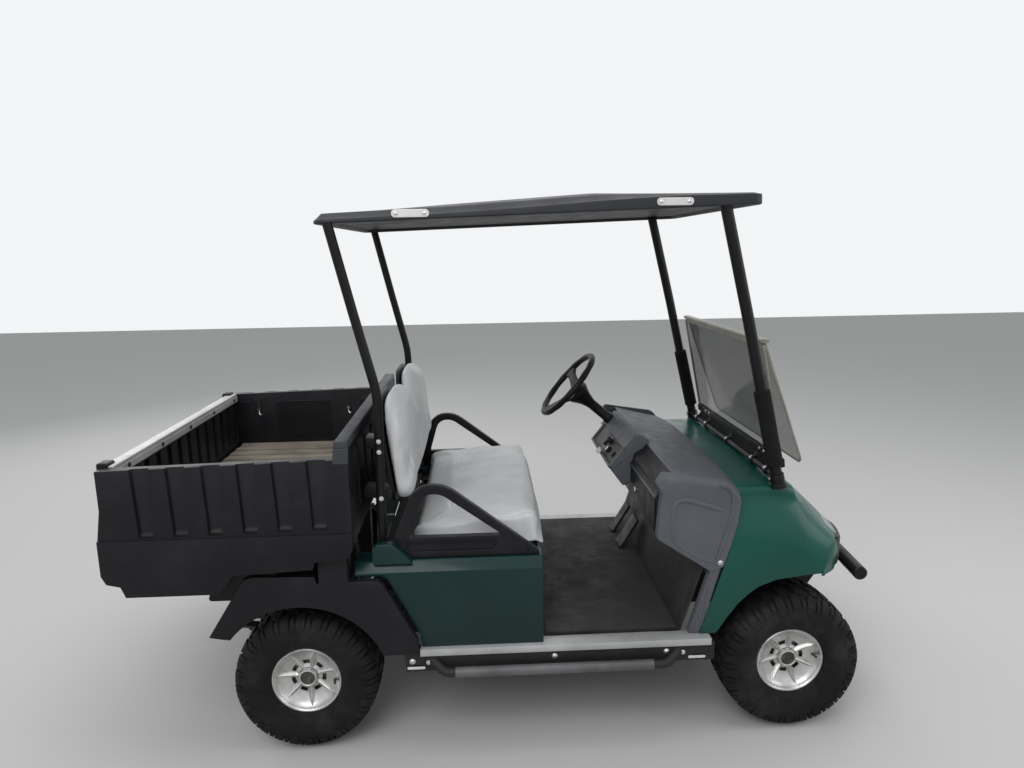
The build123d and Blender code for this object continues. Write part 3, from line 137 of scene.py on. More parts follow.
def make_studio():
    """Pale floor, pale world and soft lamps."""
    scene = bpy.context.scene
    scene.view_settings.view_transform = "Standard"
    world = bpy.data.worlds.new("world")
    scene.world = world
    world.use_nodes = True
    tree = world.node_tree
    tree.nodes.clear()
    light = add_node(tree, "Background", {"Color": (0.93, 0.96, 1.0, 1), "Strength": 0.42})
    shown = add_node(tree, "Background", {"Color": (0.9, 0.91, 0.92, 1), "Strength": 1.0})
    rays = add_node(tree, "LightPath").outputs
    direct = add_node(tree, "Math", {0: rays["Is Camera Ray"], 1: rays["Is Transmission Ray"]},
                      operation="MAXIMUM")
    seen = add_node(tree, "Math", {0: direct.outputs[0], 1: rays["Is Glossy Ray"]}, operation="MAXIMUM")
    mix = add_node(tree, "MixShader", {"Fac": seen.outputs[0], 1: light.outputs[0], 2: shown.outputs[0]})
    add_node(tree, "OutputWorld", {"Surface": mix.outputs[0]})

    mesh = bpy.data.meshes.new("floor")
    mesh.from_pydata([(x, y, 0) for x, y in oblong(-FLOOR_REACH, -FLOOR_REACH, FLOOR_REACH, FLOOR_REACH)],
                     [], [(0, 1, 2, 3)])
    floor = new_piece("floor", mesh)
    pale = bpy.data.materials.new("floor")
    pale.use_nodes = True
    feed(pale.node_tree, pale.node_tree.nodes["Principled BSDF"],
         {"Base Color": (0.62, 0.62, 0.6, 1), "Roughness": 0.9})
    mesh.materials.append(pale)

    for lamp in LAMPS:
        area_light(*lamp)


# Materials
def mix_colour(tree, factor, first, second):
    """Colour mixed from two by a factor socket; first and second are sockets or colours."""
    first, second = [value if isinstance(value, bpy.types.NodeSocket) else (*value, 1)
                     for value in (first, second)]
    return add_node(tree, "Mix", {"Factor": factor, 6: first, 7: second}, data_type="RGBA").outputs[2]


def spread(tree, value, low, high, out_low=0.0, out_high=1.0):
    """Smooth step of a value socket from low to high."""
    return add_node(tree, "MapRange", {"From Min": low, "From Max": high, "To Min": out_low,
                                       "To Max": out_high, "Value": value},
                    interpolation_type="SMOOTHSTEP").outputs["Result"]


def noise_value(tree, place, scale, detail=4.0, roughness=0.55):
    """Cloudy value between 0 and 1."""
    return add_node(tree, "TexNoise", {"Scale": scale, "Detail": detail, "Roughness": roughness,
                                       "Vector": place}).outputs["Fac"]


def new_material(name):
    """Material with its tree, its shader and the piece's own coordinates."""
    made = bpy.data.materials.new(name)
    made.use_nodes = True
    tree = made.node_tree
    return made, tree, tree.nodes["Principled BSDF"], add_node(tree, "TexCoord").outputs["Object"]


GRAIN_DEPTH = 0.001
CELL_DEPTH = 0.0006
SCUFF_STRETCH = (9, 60, 60)
SCUFF_TURN = (0.3, 0.5, 0.2)


def surface(name, colour, tint, rough=(0.4, 0.6), metallic=0.0, blotch=4.0, grain=(600.0, 0.1),
            dust=None, low_tint=None, scratch=None, coat=None, cells=None, shine=0.5):
    """Procedural material.

    colour and tint are the two colours of the large blotches; rough is the span of roughness;
    grain is (scale, strength) of the fine bump; dust is (colour, amount, scale) of patchy dust;
    the low tint is (colour, z_full, z_none, amount) of a tint that fades with height, dust on the frame and
    a duller green on the paints;
    scratch is (colour, amount) of thin pale scuffs; cells is (scale, strength) of leather cells;
    shine is the level of the plain reflection.
    """
    made, tree, shader, place = new_material(name)
    paint = mix_colour(tree, spread(tree, noise_value(tree, place, blotch), 0.35, 0.65), colour, tint)
    if dust:
        dust_colour, amount, scale = dust
        patch = spread(tree, noise_value(tree, place, scale, 6.0, 0.65), 0.45, 0.75, 0.0, amount)
        paint = mix_colour(tree, patch, paint, dust_colour)
    if scratch:
        scratch_colour, amount = scratch
        stretch = add_node(tree, "Mapping", {"Scale": SCUFF_STRETCH, "Rotation": SCUFF_TURN,
                                             "Vector": place}).outputs["Vector"]
        streak = spread(tree, noise_value(tree, stretch, 1.0, 5.0, 0.7), 0.68, 0.76, 0, amount)
        paint = mix_colour(tree, streak, paint, scratch_colour)
    if low_tint:
        low_colour, z_full, z_none, amount = low_tint
        axes = add_node(tree, "SeparateXYZ", {0: place})
        height = spread(tree, axes.outputs["Z"], z_full, z_none, amount, 0.0)
        broken = spread(tree, noise_value(tree, place, 14.0, 8.0, 0.7), 0.3, 0.7, 0.35, 1.0)
        share = add_node(tree, "Math", {0: height, 1: broken}, operation="MULTIPLY")
        paint = mix_colour(tree, share.outputs[0], paint, low_colour)
    grain_scale, grain_strength = grain
    bump = add_node(tree, "Bump", {"Strength": grain_strength, "Distance": GRAIN_DEPTH,
                                   "Height": noise_value(tree, place, grain_scale, 2.0)})
    if cells:
        scale, strength = cells
        cell = add_node(tree, "TexVoronoi", {"Scale": scale, "Vector": place}, feature="DISTANCE_TO_EDGE")
        bump = add_node(tree, "Bump", {"Strength": strength, "Distance": CELL_DEPTH,
                                       "Height": spread(tree, cell.outputs["Distance"], 0.0, 0.12),
                                       "Normal": bump.outputs["Normal"]})
    worn = spread(tree, noise_value(tree, place, blotch * 5, 6.0, 0.65), 0.3, 0.7, *rough)
    feed(tree, shader, {"Base Color": paint, "Roughness": worn, "Metallic": metallic,
                        "Specular IOR Level": shine, "Normal": bump.outputs["Normal"]})
    if coat:
        feed(tree, shader, {"Coat Weight": coat, "Coat Roughness": 0.12})
    return made


def clear_sheet(name, colour, alpha, rough):
    """Tinted see-through plastic with a faint haze."""
    made, tree, shader, place = new_material(name)
    haze = spread(tree, noise_value(tree, place, 6.0, 6.0, 0.6), 0.35, 0.75, rough, rough + 0.08)
    paint = mix_colour(tree, noise_value(tree, place, 3.0), colour, tuple(c * 1.3 for c in colour))
    feed(tree, shader, {"Roughness": haze, "Base Color": paint, "Alpha": alpha})
    made.surface_render_method = "BLENDED"
    return made


DUST = (0.30, 0.28, 0.25)
MATERIALS = {
    "tyre": surface("tyre", (0.010, 0.010, 0.011), (0.016, 0.016, 0.0165), (0.6, 0.85), blotch=7,
                    grain=(700, 0.25), dust=((0.10, 0.095, 0.085), 0.22, 9.0), shine=0.15),
    "rim": surface("rim", (0.50, 0.50, 0.49), (0.62, 0.62, 0.61), (0.26, 0.42), metallic=0.85, blotch=20,
                   grain=(900, 0.08), dust=((0.2, 0.19, 0.17), 0.3, 25.0)),
    "frame": surface("frame", (0.009, 0.009, 0.010), (0.015, 0.015, 0.015), (0.4, 0.6),
                     low_tint=((0.12, 0.11, 0.10), 0.1, 0.5, 0.25), scratch=((0.12, 0.12, 0.12), 0.4),
                     shine=0.25),
    "step": surface("step", (0.075, 0.075, 0.080), (0.13, 0.13, 0.135), (0.35, 0.55),
                    scratch=((0.35, 0.35, 0.35), 0.9), dust=((0.2, 0.19, 0.18), 0.5, 12.0)),
    "floor": surface("floor_paint", (0.012, 0.012, 0.013), (0.018, 0.018, 0.018), (0.5, 0.75),
                     dust=((0.07, 0.065, 0.06), 0.3, 6.0)),
    "mat": surface("mat", (0.034, 0.034, 0.036), (0.042, 0.042, 0.043), (0.6, 0.85), blotch=3,
                   grain=(300, 0.5), dust=((0.065, 0.063, 0.06), 0.5, 5.0),
                   scratch=((0.12, 0.12, 0.12), 0.35), shine=0.3),
    "strip": surface("strip", (0.46, 0.46, 0.46), (0.56, 0.56, 0.56), (0.35, 0.5), metallic=0.3,
                     grain=(900, 0.05), dust=((0.3, 0.29, 0.27), 0.35, 14.0)),
    "spring": surface("spring", (0.03, 0.028, 0.026), (0.07, 0.05, 0.04), (0.55, 0.8),
                      dust=(DUST, 0.5, 20.0)),
    "machinery": surface("machinery", (0.09, 0.09, 0.09), (0.15, 0.14, 0.13), (0.5, 0.75), metallic=0.4,
                         blotch=12, grain=(400, 0.4), dust=(DUST, 0.55, 16.0)),
    # The green paint turns darker and greyer towards the bottom
    "green_paint": surface("green_paint", (0.003, 0.070, 0.052), (0.004, 0.086, 0.064), (0.26, 0.38),
                           blotch=2.5, grain=(500, 0.02), low_tint=((0.012, 0.034, 0.028), 0.3, 0.72, 0.5),
                           scratch=((0.04, 0.15, 0.12), 0.2), coat=0.12, shine=0.25),
    "black_moulding": surface("black_moulding", (0.0070, 0.0072, 0.0090), (0.0095, 0.0096, 0.0118),
                              (0.36, 0.5), blotch=3, grain=(800, 0.35),
                              dust=((0.030, 0.030, 0.034), 0.3, 6.0), scratch=((0.06, 0.06, 0.065), 0.4),
                              shine=0.22),
    "grey_moulding": surface("grey_moulding", (0.098, 0.104, 0.120), (0.118, 0.124, 0.141), (0.42, 0.62),
                             blotch=4, grain=(850, 0.35), dust=((0.19, 0.19, 0.19), 0.25, 9.0), shine=0.25),
    "vinyl": surface("vinyl", (0.70, 0.705, 0.715), (0.76, 0.765, 0.775), (0.38, 0.52), blotch=3,
                     grain=(350, 0.12), dust=((0.26, 0.25, 0.23), 0.3, 4.0), cells=(330.0, 0.25)),
    "canopy_moulding": surface("canopy_moulding", (0.024, 0.025, 0.030), (0.031, 0.032, 0.037), (0.4, 0.58),
                               blotch=2, grain=(700, 0.3), dust=((0.06, 0.06, 0.065), 0.2, 5.0),
                               shine=0.25),
    "post": surface("post", (0.006, 0.006, 0.007), (0.010, 0.010, 0.011), (0.3, 0.45), grain=(900, 0.15),
                    scratch=((0.12, 0.12, 0.12), 0.25), shine=0.2),
    "foam": surface("foam", (0.007, 0.007, 0.008), (0.012, 0.012, 0.013), (0.8, 0.95), grain=(420, 0.7),
                    shine=0.15),
    "plate": surface("plate", (0.70, 0.70, 0.68), (0.78, 0.78, 0.76), (0.35, 0.5), metallic=0.2,
                     grain=(900, 0.05), dust=((0.4, 0.38, 0.34), 0.3, 30.0)),
    "wheel_grip": surface("wheel_grip", (0.008, 0.008, 0.010), (0.013, 0.013, 0.015), (0.35, 0.5),
                          grain=(900, 0.3), shine=0.2),
    "bright": surface("bright", (0.55, 0.55, 0.55), (0.68, 0.68, 0.67), (0.18, 0.32), metallic=1.0,
                      blotch=40, grain=(900, 0.05)),
    "cap": surface("cap", (0.02, 0.02, 0.018), (0.035, 0.032, 0.026), (0.4, 0.6), grain=(600, 0.2),
                   dust=(DUST, 0.4, 40.0)),
    "gloss_black": surface("gloss_black", (0.004, 0.004, 0.005), (0.007, 0.007, 0.008), (0.4, 0.5),
                           grain=(900, 0.08), dust=((0.12, 0.12, 0.12), 0.15, 12.0), shine=0.3),
    # The green paint made darker and bluer as painted shade, for upright panels that face away from the
    # light
    "green_paint_shaded": surface("green_paint_shaded", (0.003, 0.024, 0.024), (0.004, 0.030, 0.030), (0.26, 0.38),
                           blotch=2.5, grain=(500, 0.02), scratch=((0.04, 0.13, 0.11), 0.2), coat=0.12,
                           low_tint=((0.010, 0.022, 0.020), 0.3, 0.66, 0.5), shine=0.25),
    "cap_moulding": surface("cap_moulding", (0.050, 0.053, 0.062), (0.066, 0.069, 0.079), (0.42, 0.6),
                            grain=(850, 0.3), dust=((0.12, 0.12, 0.12), 0.2, 9.0), shine=0.25),
    "lip": surface("lip", (0.030, 0.032, 0.036), (0.050, 0.052, 0.056), (0.25, 0.4), grain=(800, 0.15),
                   scratch=((0.3, 0.3, 0.3), 0.4)),
    "tag": surface("tag", (0.60, 0.58, 0.50), (0.70, 0.68, 0.60), (0.45, 0.6), grain=(600, 0.1)),
    # Pale edge bands of the panes: painted highlight along the edges, with dust patches
    "pane_edge_highlight": surface("pane_edge_highlight", (0.20, 0.19, 0.14), (0.30, 0.29, 0.23), (0.3, 0.45), blotch=9,
                         grain=(700, 0.1), dust=((0.4, 0.38, 0.33), 0.4, 14.0)),
    # Near black: the own colour of small dark fixings, and painted shade for holes, slots and grooves
    "black_and_painted_shade": surface("black_and_painted_shade", (0.004, 0.004, 0.004), (0.008, 0.008, 0.008), (0.6, 0.8), grain=(600, 0.1)),
    "bed_dirt": surface("bed_dirt", (0.17, 0.145, 0.115), (0.24, 0.21, 0.17), (0.75, 0.92), blotch=5,
                        grain=(260, 0.8), dust=((0.05, 0.047, 0.042), 0.6, 6.0)),
    "screen": clear_sheet("screen", (0.045, 0.048, 0.042), 0.42, 0.05),
    "lamp": clear_sheet("lamp", (0.55, 0.56, 0.57), 0.55, 0.04),
}


def dress_nodes():
    """Gives every CAD node the material of its slot."""
    for name, node in NODES.items():
        for held in node.material_slots:
            held.material = MATERIALS[SLOTS[name]]


# Mesh helpers
def mesh_from(name, bm):
    """Mesh of a bmesh, which is freed."""
    mesh = bpy.data.meshes.new(name)
    bm.to_mesh(mesh)
    bm.free()
    return mesh


def shade(mesh, angle):
    """Smooth shading, sharp where faces meet at more than the angle."""
    mesh.polygons.foreach_set("use_smooth", [True] * len(mesh.polygons))
    mesh.set_sharp_from_angle(angle=math.radians(angle))


def shaded_mesh(name, bm, material, angle):
    """Mesh of a bmesh with its material and shading."""
    bmesh.ops.recalc_face_normals(bm, faces=bm.faces)
    mesh = mesh_from(name, bm)
    mesh.materials.append(MATERIALS[material])
    shade(mesh, angle)
    return mesh


def finish_mesh(name, bm, material, body, angle, slot, node=None, bevel=0.0):
    """Piece from a bmesh, riding its body, with the CAD node that it replaces hidden; slot is not used."""
    piece = new_piece(name, shaded_mesh(name, bm, material, angle))
    if bevel:
        rounding = piece.modifiers.new("rounding", "BEVEL")
        rounding.width = bevel
        rounding.segments = 2
        rounding.limit_method = "ANGLE"
        rounding.angle_limit = math.radians(40)
    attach(piece, body)
    if node:
        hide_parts(node)
    return piece


def frame_along(axis):
    """Rotation that turns +Z to the axis."""
    return Vector(axis).normalized().to_track_quat("Z", "Y").to_matrix().to_4x4()


def add_disc(bm, centre, axis, radius, height, segments=16, top=None):
    """Cylinder or cone frustum with its middle at the centre."""
    bmesh.ops.create_cone(bm, cap_ends=True, segments=segments, radius1=radius,
                          radius2=radius if top is None else top, depth=height,
                          matrix=Matrix.Translation(centre) @ frame_along(axis))


def add_box(bm, low, high):
    """Block between two corners."""
    low, high = Vector(low), Vector(high)
    size = high - low
    matrix = Matrix.Translation((low + high) / 2) @ Matrix.Diagonal((*size, 1))
    bmesh.ops.create_cube(bm, size=1, matrix=matrix)


def add_revolved(bm, centre, axis, profile, segments=64, closed=False):
    """Surface turned about an axis: profile is (radius, along) pairs."""
    turn = Matrix.Translation(centre) @ frame_along(axis)
    rings = []
    for radius, along in profile:
        if radius < 1e-6:
            rings.append([bm.verts.new(turn @ Vector((0, 0, along)))])
            continue
        rings.append([bm.verts.new(turn @ Vector((radius * math.cos(2 * math.pi * k / segments),
                                                  radius * math.sin(2 * math.pi * k / segments), along)))
                      for k in range(segments)])
    pairs = list(zip(rings, rings[1:]))
    if closed:
        pairs.append((rings[-1], rings[0]))
    for near, far in pairs:
        for k in range(segments):
            n = (k + 1) % segments
            corners = [near[k % len(near)], near[n % len(near)], far[n % len(far)], far[k % len(far)]]
            corners = list(dict.fromkeys(corners))
            if len(corners) > 2:
                bm.faces.new(corners)


def add_screw(bm, centre, axis, radius, kind="pan"):
    """Fastener head: a washer with a domed or six-sided head, its washer's underside at the centre."""
    axis = Vector(axis).normalized()
    washer = radius * 0.22
    add_disc(bm, Vector(centre) + axis * washer / 2, axis, radius * 1.35, washer, 24)
    base = Vector(centre) + axis * washer
    if kind == "hex":
        add_disc(bm, base + axis * radius * 0.35, axis, radius, radius * 0.7, 6)
        add_disc(bm, base + axis * radius * 0.72, axis, radius * 0.8, radius * 0.12, 24, radius * 0.6)
    else:
        add_revolved(bm, base, axis,
                     [(radius, 0), (radius * 0.96, radius * 0.25), (radius * 0.7, radius * 0.5),
                      (radius * 0.3, radius * 0.58), (0, radius * 0.58)], 24)


# Wheels
WHEEL_Y = 0.465
WHEELBASE = 1.665
TYRE_RADIUS = 0.245
PITCHES = 26
# Half section of the casing from the crown to the bead: radius and distance from the middle plane
CASING = [(0.2370, 0.0), (0.2366, 0.030), (0.2348, 0.060), (0.2310, 0.088), (0.2245, 0.104),
          (0.2150, 0.1130), (0.2030, 0.1175), (0.1880, 0.1195), (0.1700, 0.1188), (0.1500, 0.1135),
          (0.1330, 0.1040), (0.1225, 0.0950), (0.1188, 0.0905)]


def casing_point(u):
    """Point of the casing, radius and offset, at arc length u from the crown, with its outward normal."""
    sign = 1 if u >= 0 else -1
    left = abs(u)
    for (r0, y0), (r1, y1) in zip(CASING, CASING[1:]):
        step = math.hypot(r1 - r0, y1 - y0)
        if left <= step or (r1, y1) == CASING[-1]:
            share = left / step
            normal = Vector(((y1 - y0) / step, -(r1 - r0) / step))
            return (r0 + (r1 - r0) * share, sign * (y0 + (y1 - y0) * share)), (normal.x, sign * normal.y)
        left -= step


def add_lug(bm, turn, u_low, u_high, widths, shift, heights):
    """Tread block on the casing.

    widths, shifts round the tyre and heights are given at one end, the middle and the other end.
    """
    steps = 6 if abs(u_high - u_low) > 0.03 else 3
    rows = []
    for i in range(steps + 1):
        t = i / steps
        u = u_low + (u_high - u_low) * t
        (radius, offset), (normal_r, normal_y) = casing_point(u)
        blend = [(1 - t) * (1 - 2 * t) if t < 0.5 else 0, 1 - abs(2 * t - 1),
                 (2 * t - 1) * t if t > 0.5 else 0]
        total = sum(blend)
        width = sum(w * b for w, b in zip(widths, blend)) / total
        height = sum(h * b for h, b in zip(heights, blend)) / total
        centre = turn + sum(s * b for s, b in zip(shift, blend)) / total / TYRE_RADIUS
        row = []
        for lift, spread_out in ((-0.002, 1.12), (height, 0.92)):
            r = radius + normal_r * lift
            y = offset + normal_y * lift
            for side in (-1, 1):
                a = centre + side * width * spread_out / 2 / TYRE_RADIUS
                row.append(bm.verts.new((r * math.cos(a), y, r * math.sin(a))))
        rows.append(row)
    for near, far in zip(rows, rows[1:]):
        bm.faces.new([near[2], near[3], far[3], far[2]])
        bm.faces.new([near[0], near[2], far[2], far[0]])
        bm.faces.new([near[3], near[1], far[1], far[3]])
    for row in (rows[0], rows[-1]):
        bm.faces.new([row[0], row[1], row[3], row[2]])


def tyre_mesh():
    """Off-road tyre about the Y axis: casing, staggered tread blocks and wrapped shoulder blocks."""
    bm = bmesh.new()
    inside = [(0.1188, 0.0860), (0.150, 0.0980), (0.2150, 0.0980), (0.2280, 0.0)]
    full = [(r, -y) for r, y in reversed(CASING)] + CASING[1:]
    inner = inside + [(r, -y) for r, y in reversed(inside[:-1])]
    add_revolved(bm, (0, 0, 0), (0, 1, 0), full + inner, 104, closed=True)
    pitch = 2 * math.pi / PITCHES
    for k in range(PITCHES):
        base = k * pitch
        odd = k % 2
        # Centre blocks
        for side in SIDES:
            lean = 0.006 * side
            add_lug(bm, base + (0.25 if side > 0 else -0.25) * pitch, side * 0.004, side * 0.030,
                    (0.019, 0.030, 0.022), (-lean, 0, lean), (0.0078, 0.0080, 0.0078))
            # Middle blocks
            add_lug(bm, base + (0.02 if side > 0 else 0.52) * pitch + 0.2 * pitch, side * 0.037,
                    side * 0.066, (0.024, 0.031, 0.021), (lean, 0, lean), (0.0078, 0.0080, 0.0078))
            # Shoulder blocks, long and short by turns
            reach = 0.146 if (odd if side > 0 else not odd) else 0.137
            add_lug(bm, base + (0.0 if side > 0 else 0.5) * pitch - 0.22 * pitch, side * 0.072,
                    side * reach, (0.021, 0.034, 0.026), (0.004, 0, 0), (0.0080, 0.0078, 0.0022))
            add_lug(bm, base + (0.0 if side > 0 else 0.5) * pitch + 0.27 * pitch, side * 0.094,
                    side * (reach - 0.012), (0.012, 0.017, 0.009), (0.0, 0, 0.002),
                    (0.0078, 0.0072, 0.0030))
    return shaded_mesh("tyre", bm, "tyre", 38)


RIBS = 7
DISH = [(0.1060, 0.0830), (0.1010, 0.0760), (0.0930, 0.0700), (0.0800, 0.0640), (0.0670, 0.0595),
        (0.0600, 0.0580), (0.0460, 0.0575), (0.0400, 0.0590), (0.0340, 0.0620)]
DISH_SECTORS = 112
WINDOW_RINGS = (5,)


def dish_height(radius):
    """Height of the dish above the wheel's middle plane at a radius."""
    for (r0, y0), (r1, y1) in zip(DISH, DISH[1:]):
        if r1 <= radius <= r0:
            return y0 + (y1 - y0) * (r0 - radius) / (r0 - r1)
    return DISH[-1][1]


def add_rib(bm, angle):
    """Raised pointed rib on the dish, from the hub to the flange."""
    inner, outer, steps = 0.036, 0.1065, 14
    rows = []
    for i in range(steps + 1):
        t = i / steps
        radius = inner + (outer - inner) * t
        half = 0.0072 * (math.sin(math.pi * min(1.0, 0.22 + 0.78 * t)) ** 0.75) + 0.0002
        ridge = 0.0650 + 0.0175 * t ** 1.3
        foot = dish_height(radius) - 0.002
        ridge = max(ridge, foot + 0.0025)
        row = []
        for across, height in ((-1.5, foot), (-0.75, ridge - 0.0035), (0, ridge), (0.75, ridge - 0.0035),
                               (1.5, foot)):
            x, z = radius, across * half
            c, s = math.cos(angle), math.sin(angle)
            row.append(bm.verts.new((x * c - z * s, height, x * s + z * c)))
        rows.append(row)
    for near, far in zip(rows, rows[1:]):
        for a in range(4):
            bm.faces.new([near[a], near[a + 1], far[a + 1], far[a]])
        bm.faces.new([near[4], near[0], far[0], far[4]])
    bm.faces.new(rows[0])
    bm.faces.new(list(reversed(rows[-1])))


def rim_meshes():
    """Silver rim with its dish, windows and ribs, and the dark cap in the hub ring."""
    bm = bmesh.new()
    # Flange, barrel and brake drum, closed sections of revolution
    flange = [(0.1060, 0.0830), (0.1085, 0.0885), (0.1120, 0.0915), (0.1155, 0.0918), (0.1178, 0.0895),
              (0.1176, 0.0850), (0.1120, 0.0780), (0.1080, 0.0600), (0.1000, 0.0400), (0.1000, -0.0600),
              (0.1120, -0.0780), (0.1176, -0.0850), (0.1178, -0.0895), (0.1155, -0.0918), (0.1100, -0.0880),
              (0.1060, -0.0780), (0.0965, -0.0600), (0.0965, 0.0500), (0.1000, 0.0700)]
    add_revolved(bm, (0, 0, 0), (0, 1, 0), flange, 96, closed=True)
    # Dish with windows
    sector = 2 * math.pi / DISH_SECTORS
    per_rib = DISH_SECTORS // RIBS
    front, back = [], []
    for radius, height in DISH:
        for held, drop in ((front, 0.0), (back, 0.0045)):
            held.append([bm.verts.new((radius * math.cos(k * sector), height - drop,
                                       radius * math.sin(k * sector))) for k in range(DISH_SECTORS)])

    def is_window(ring, k):
        place = k % per_rib
        return ring in WINDOW_RINGS and 4 <= place < per_rib - 4

    for ring in range(len(DISH) - 1):
        for k in range(DISH_SECTORS):
            n = (k + 1) % DISH_SECTORS
            if is_window(ring, k):
                continue
            bm.faces.new([front[ring][k], front[ring][n], front[ring + 1][n], front[ring + 1][k]])
            bm.faces.new([back[ring][k], back[ring + 1][k], back[ring + 1][n], back[ring][n]])
            for near, far, other in ((k, n, (ring - 1, k)), (k, n, (ring + 1, k))):
                if is_window(*other):
                    edge = ring if other[0] < ring else ring + 1
                    bm.faces.new([front[edge][near], front[edge][far], back[edge][far], back[edge][near]])
            if is_window(ring, (k + 1) % DISH_SECTORS):
                bm.faces.new([front[ring][n], front[ring + 1][n], back[ring + 1][n], back[ring][n]])
            if is_window(ring, (k - 1) % DISH_SECTORS):
                bm.faces.new([front[ring][k], front[ring + 1][k], back[ring + 1][k], back[ring][k]])
    for ring in (0, len(DISH) - 1):
        for k in range(DISH_SECTORS):
            n = (k + 1) % DISH_SECTORS
            bm.faces.new([front[ring][k], front[ring][n], back[ring][n], back[ring][k]])
    for k in range(RIBS):
        add_rib(bm, 2 * math.pi * k / RIBS)
    hub = [(0.0355, 0.0560), (0.0345, 0.0640), (0.0325, 0.0720), (0.0300, 0.0765), (0.0270, 0.0775),
           (0.0245, 0.0760), (0.0238, 0.0720), (0.0238, 0.0480)]
    add_revolved(bm, (0, 0, 0), (0, 1, 0), hub, 64, closed=True)
    stem_angle = math.pi / RIBS
    stem = Vector((0.092 * math.cos(stem_angle), 0.074, 0.092 * math.sin(stem_angle)))
    silver = shaded_mesh("rim", bm, "rim", 32)

    bm = bmesh.new()
    add_revolved(bm, (0, 0, 0), (0, 1, 0),
                 [(0.0237, 0.0480), (0.0237, 0.0700), (0.0222, 0.0715), (0.0190, 0.0705), (0.0165, 0.0722),
                  (0.0, 0.0730)], 48)
    # Brake drum and hub behind the dish
    add_revolved(bm, (0, 0, 0), (0, 1, 0),
                 [(0.0, 0.0470), (0.0500, 0.0470), (0.0780, 0.0400), (0.0800, 0.0350), (0.0800, -0.0250),
                  (0.0840, -0.0280), (0.0840, -0.0400), (0.0500, -0.0450), (0.0400, -0.0640),
                  (0.0, -0.0640)], 64)
    add_disc(bm, stem + Vector((0, 0.004, 0)),
             (0.25 * math.cos(stem_angle), 1, 0.25 * math.sin(stem_angle)), 0.0042, 0.024, 16)
    return silver, shaded_mesh("hub", bm, "cap", 32)


# Angle of a rib from straight ahead, seen from outside, as each wheel stands
WHEELS = [("rear", "right", 0.0, 18.0), ("front", "right", WHEELBASE, 31.0),
          ("rear", "left", 0.0, 40.0), ("front", "left", WHEELBASE, 12.0)]


def make_wheels():
    """Tyre, rim and hub on each wheel's body, turned as the wheels stand."""
    tyre = tyre_mesh()
    silver, dark = rim_meshes()
    for end, side, station, phase in WHEELS:
        body = f"wheel_{end}_{side}"
        out = 1 if side == "left" else -1
        centre = at(station, out * WHEEL_Y, TYRE_RADIUS)
        face = Matrix.Translation(centre) @ (Matrix.Identity(4) if out > 0
                                             else Matrix.Rotation(math.pi, 4, "Z"))
        spin = Matrix.Rotation(math.radians(phase) * (1 if out < 0 else -1) + (math.pi if out < 0 else 0),
                               4, "Y")
        for mesh, name, node, slot in ((tyre, "tread_tyre", "tyre", "tyre"),
                                       (silver, "spoked_rim", "rim", "rim"),
                                       (dark, "hub_parts", None, "rim")):
            placed = mesh.copy()
            placed.transform(face @ spin)
            piece = new_piece(f"{name}_{end}_{side}", placed)
            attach(piece, body)
            if node:
                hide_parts(f"{node}_{end}_{side}")


# Seats
def node_copy(node, name):
    """Even quad skin over a CAD solid, drawn in a little so that it can swell."""
    bm = bmesh.new()
    bm.from_mesh(NODES[node].data)
    bmesh.ops.remove_doubles(bm, verts=bm.verts, dist=1e-5)
    piece = new_piece(name, mesh_from(name, bm))
    grid = piece.modifiers.new("grid", "REMESH")
    grid.mode = "VOXEL"
    grid.voxel_size = CUSHION_GRID
    bake(piece)
    smooth(piece, 6)
    place_points(piece, coordinates(piece) - point_normals(piece) * CUSHION_DRAWN_IN)
    return piece


def bake(piece):
    """Makes the modified mesh the piece's own."""
    seen = piece.evaluated_get(bpy.context.evaluated_depsgraph_get())
    mesh = bpy.data.meshes.new_from_object(seen)
    piece.modifiers.clear()
    piece.data = mesh


def smooth(piece, iterations):
    """Evens out a mesh."""
    calm = piece.modifiers.new("calm", "SMOOTH")
    calm.factor = 0.5
    calm.iterations = iterations
    bake(piece)


def point_normals(piece):
    """Outward direction at each point of a mesh."""
    normals = np.empty(len(piece.data.vertices) * 3)
    piece.data.vertex_normals.foreach_get("vector", normals)
    return normals.reshape(-1, 3)


def coordinates(piece):
    """Points of a mesh as rows."""
    points = np.empty(len(piece.data.vertices) * 3)
    piece.data.vertices.foreach_get("co", points)
    return points.reshape(-1, 3)


def place_points(piece, points):
    """Moves the points of a mesh."""
    piece.data.vertices.foreach_set("co", np.ascontiguousarray(points).ravel())
    piece.data.update()


def puff(piece, held):
    """Swells a cushion by a short cloth simulation.

    held is how firmly each point rests on what carries it, 0 free to 1 fixed.
    """
    start = coordinates(piece)
    group = piece.vertex_groups.new(name="held")
    for index, weight in enumerate(held):
        if weight > 0.01:
            group.add([index], float(weight), "REPLACE")
    cloth = piece.modifiers.new("cloth", "CLOTH")
    cloth.settings.vertex_group_mass = "held"
    cloth.settings.use_pressure = True
    cloth.settings.uniform_pressure_force = 4.0
    cloth.settings.effector_weights.gravity = 0.0
    cloth.settings.quality = 4
    cloth.collision_settings.use_collision = False
    for step in range(1, 21):
        bpy.context.scene.frame_set(step)
    bake(piece)
    moved = coordinates(piece) - start
    far = np.linalg.norm(moved, axis=1, keepdims=True)
    place_points(piece, start + moved * np.minimum(1.0, PUFF_LIMIT / np.maximum(far, 1e-9)))
    bpy.context.scene.frame_set(1)
    smooth(piece, 16)


def near_line(points, line):
    """Distance of each (x, y) point from a polyline."""
    best = np.full(len(points), 1e9)
    for a, b in zip(line, line[1:]):
        a, b = np.array(a), np.array(b)
        run = b - a
        share = np.clip(((points - a) @ run) / (run @ run), 0, 1)
        best = np.minimum(best, np.linalg.norm(points - (a + share[:, None] * run), axis=1))
    return best


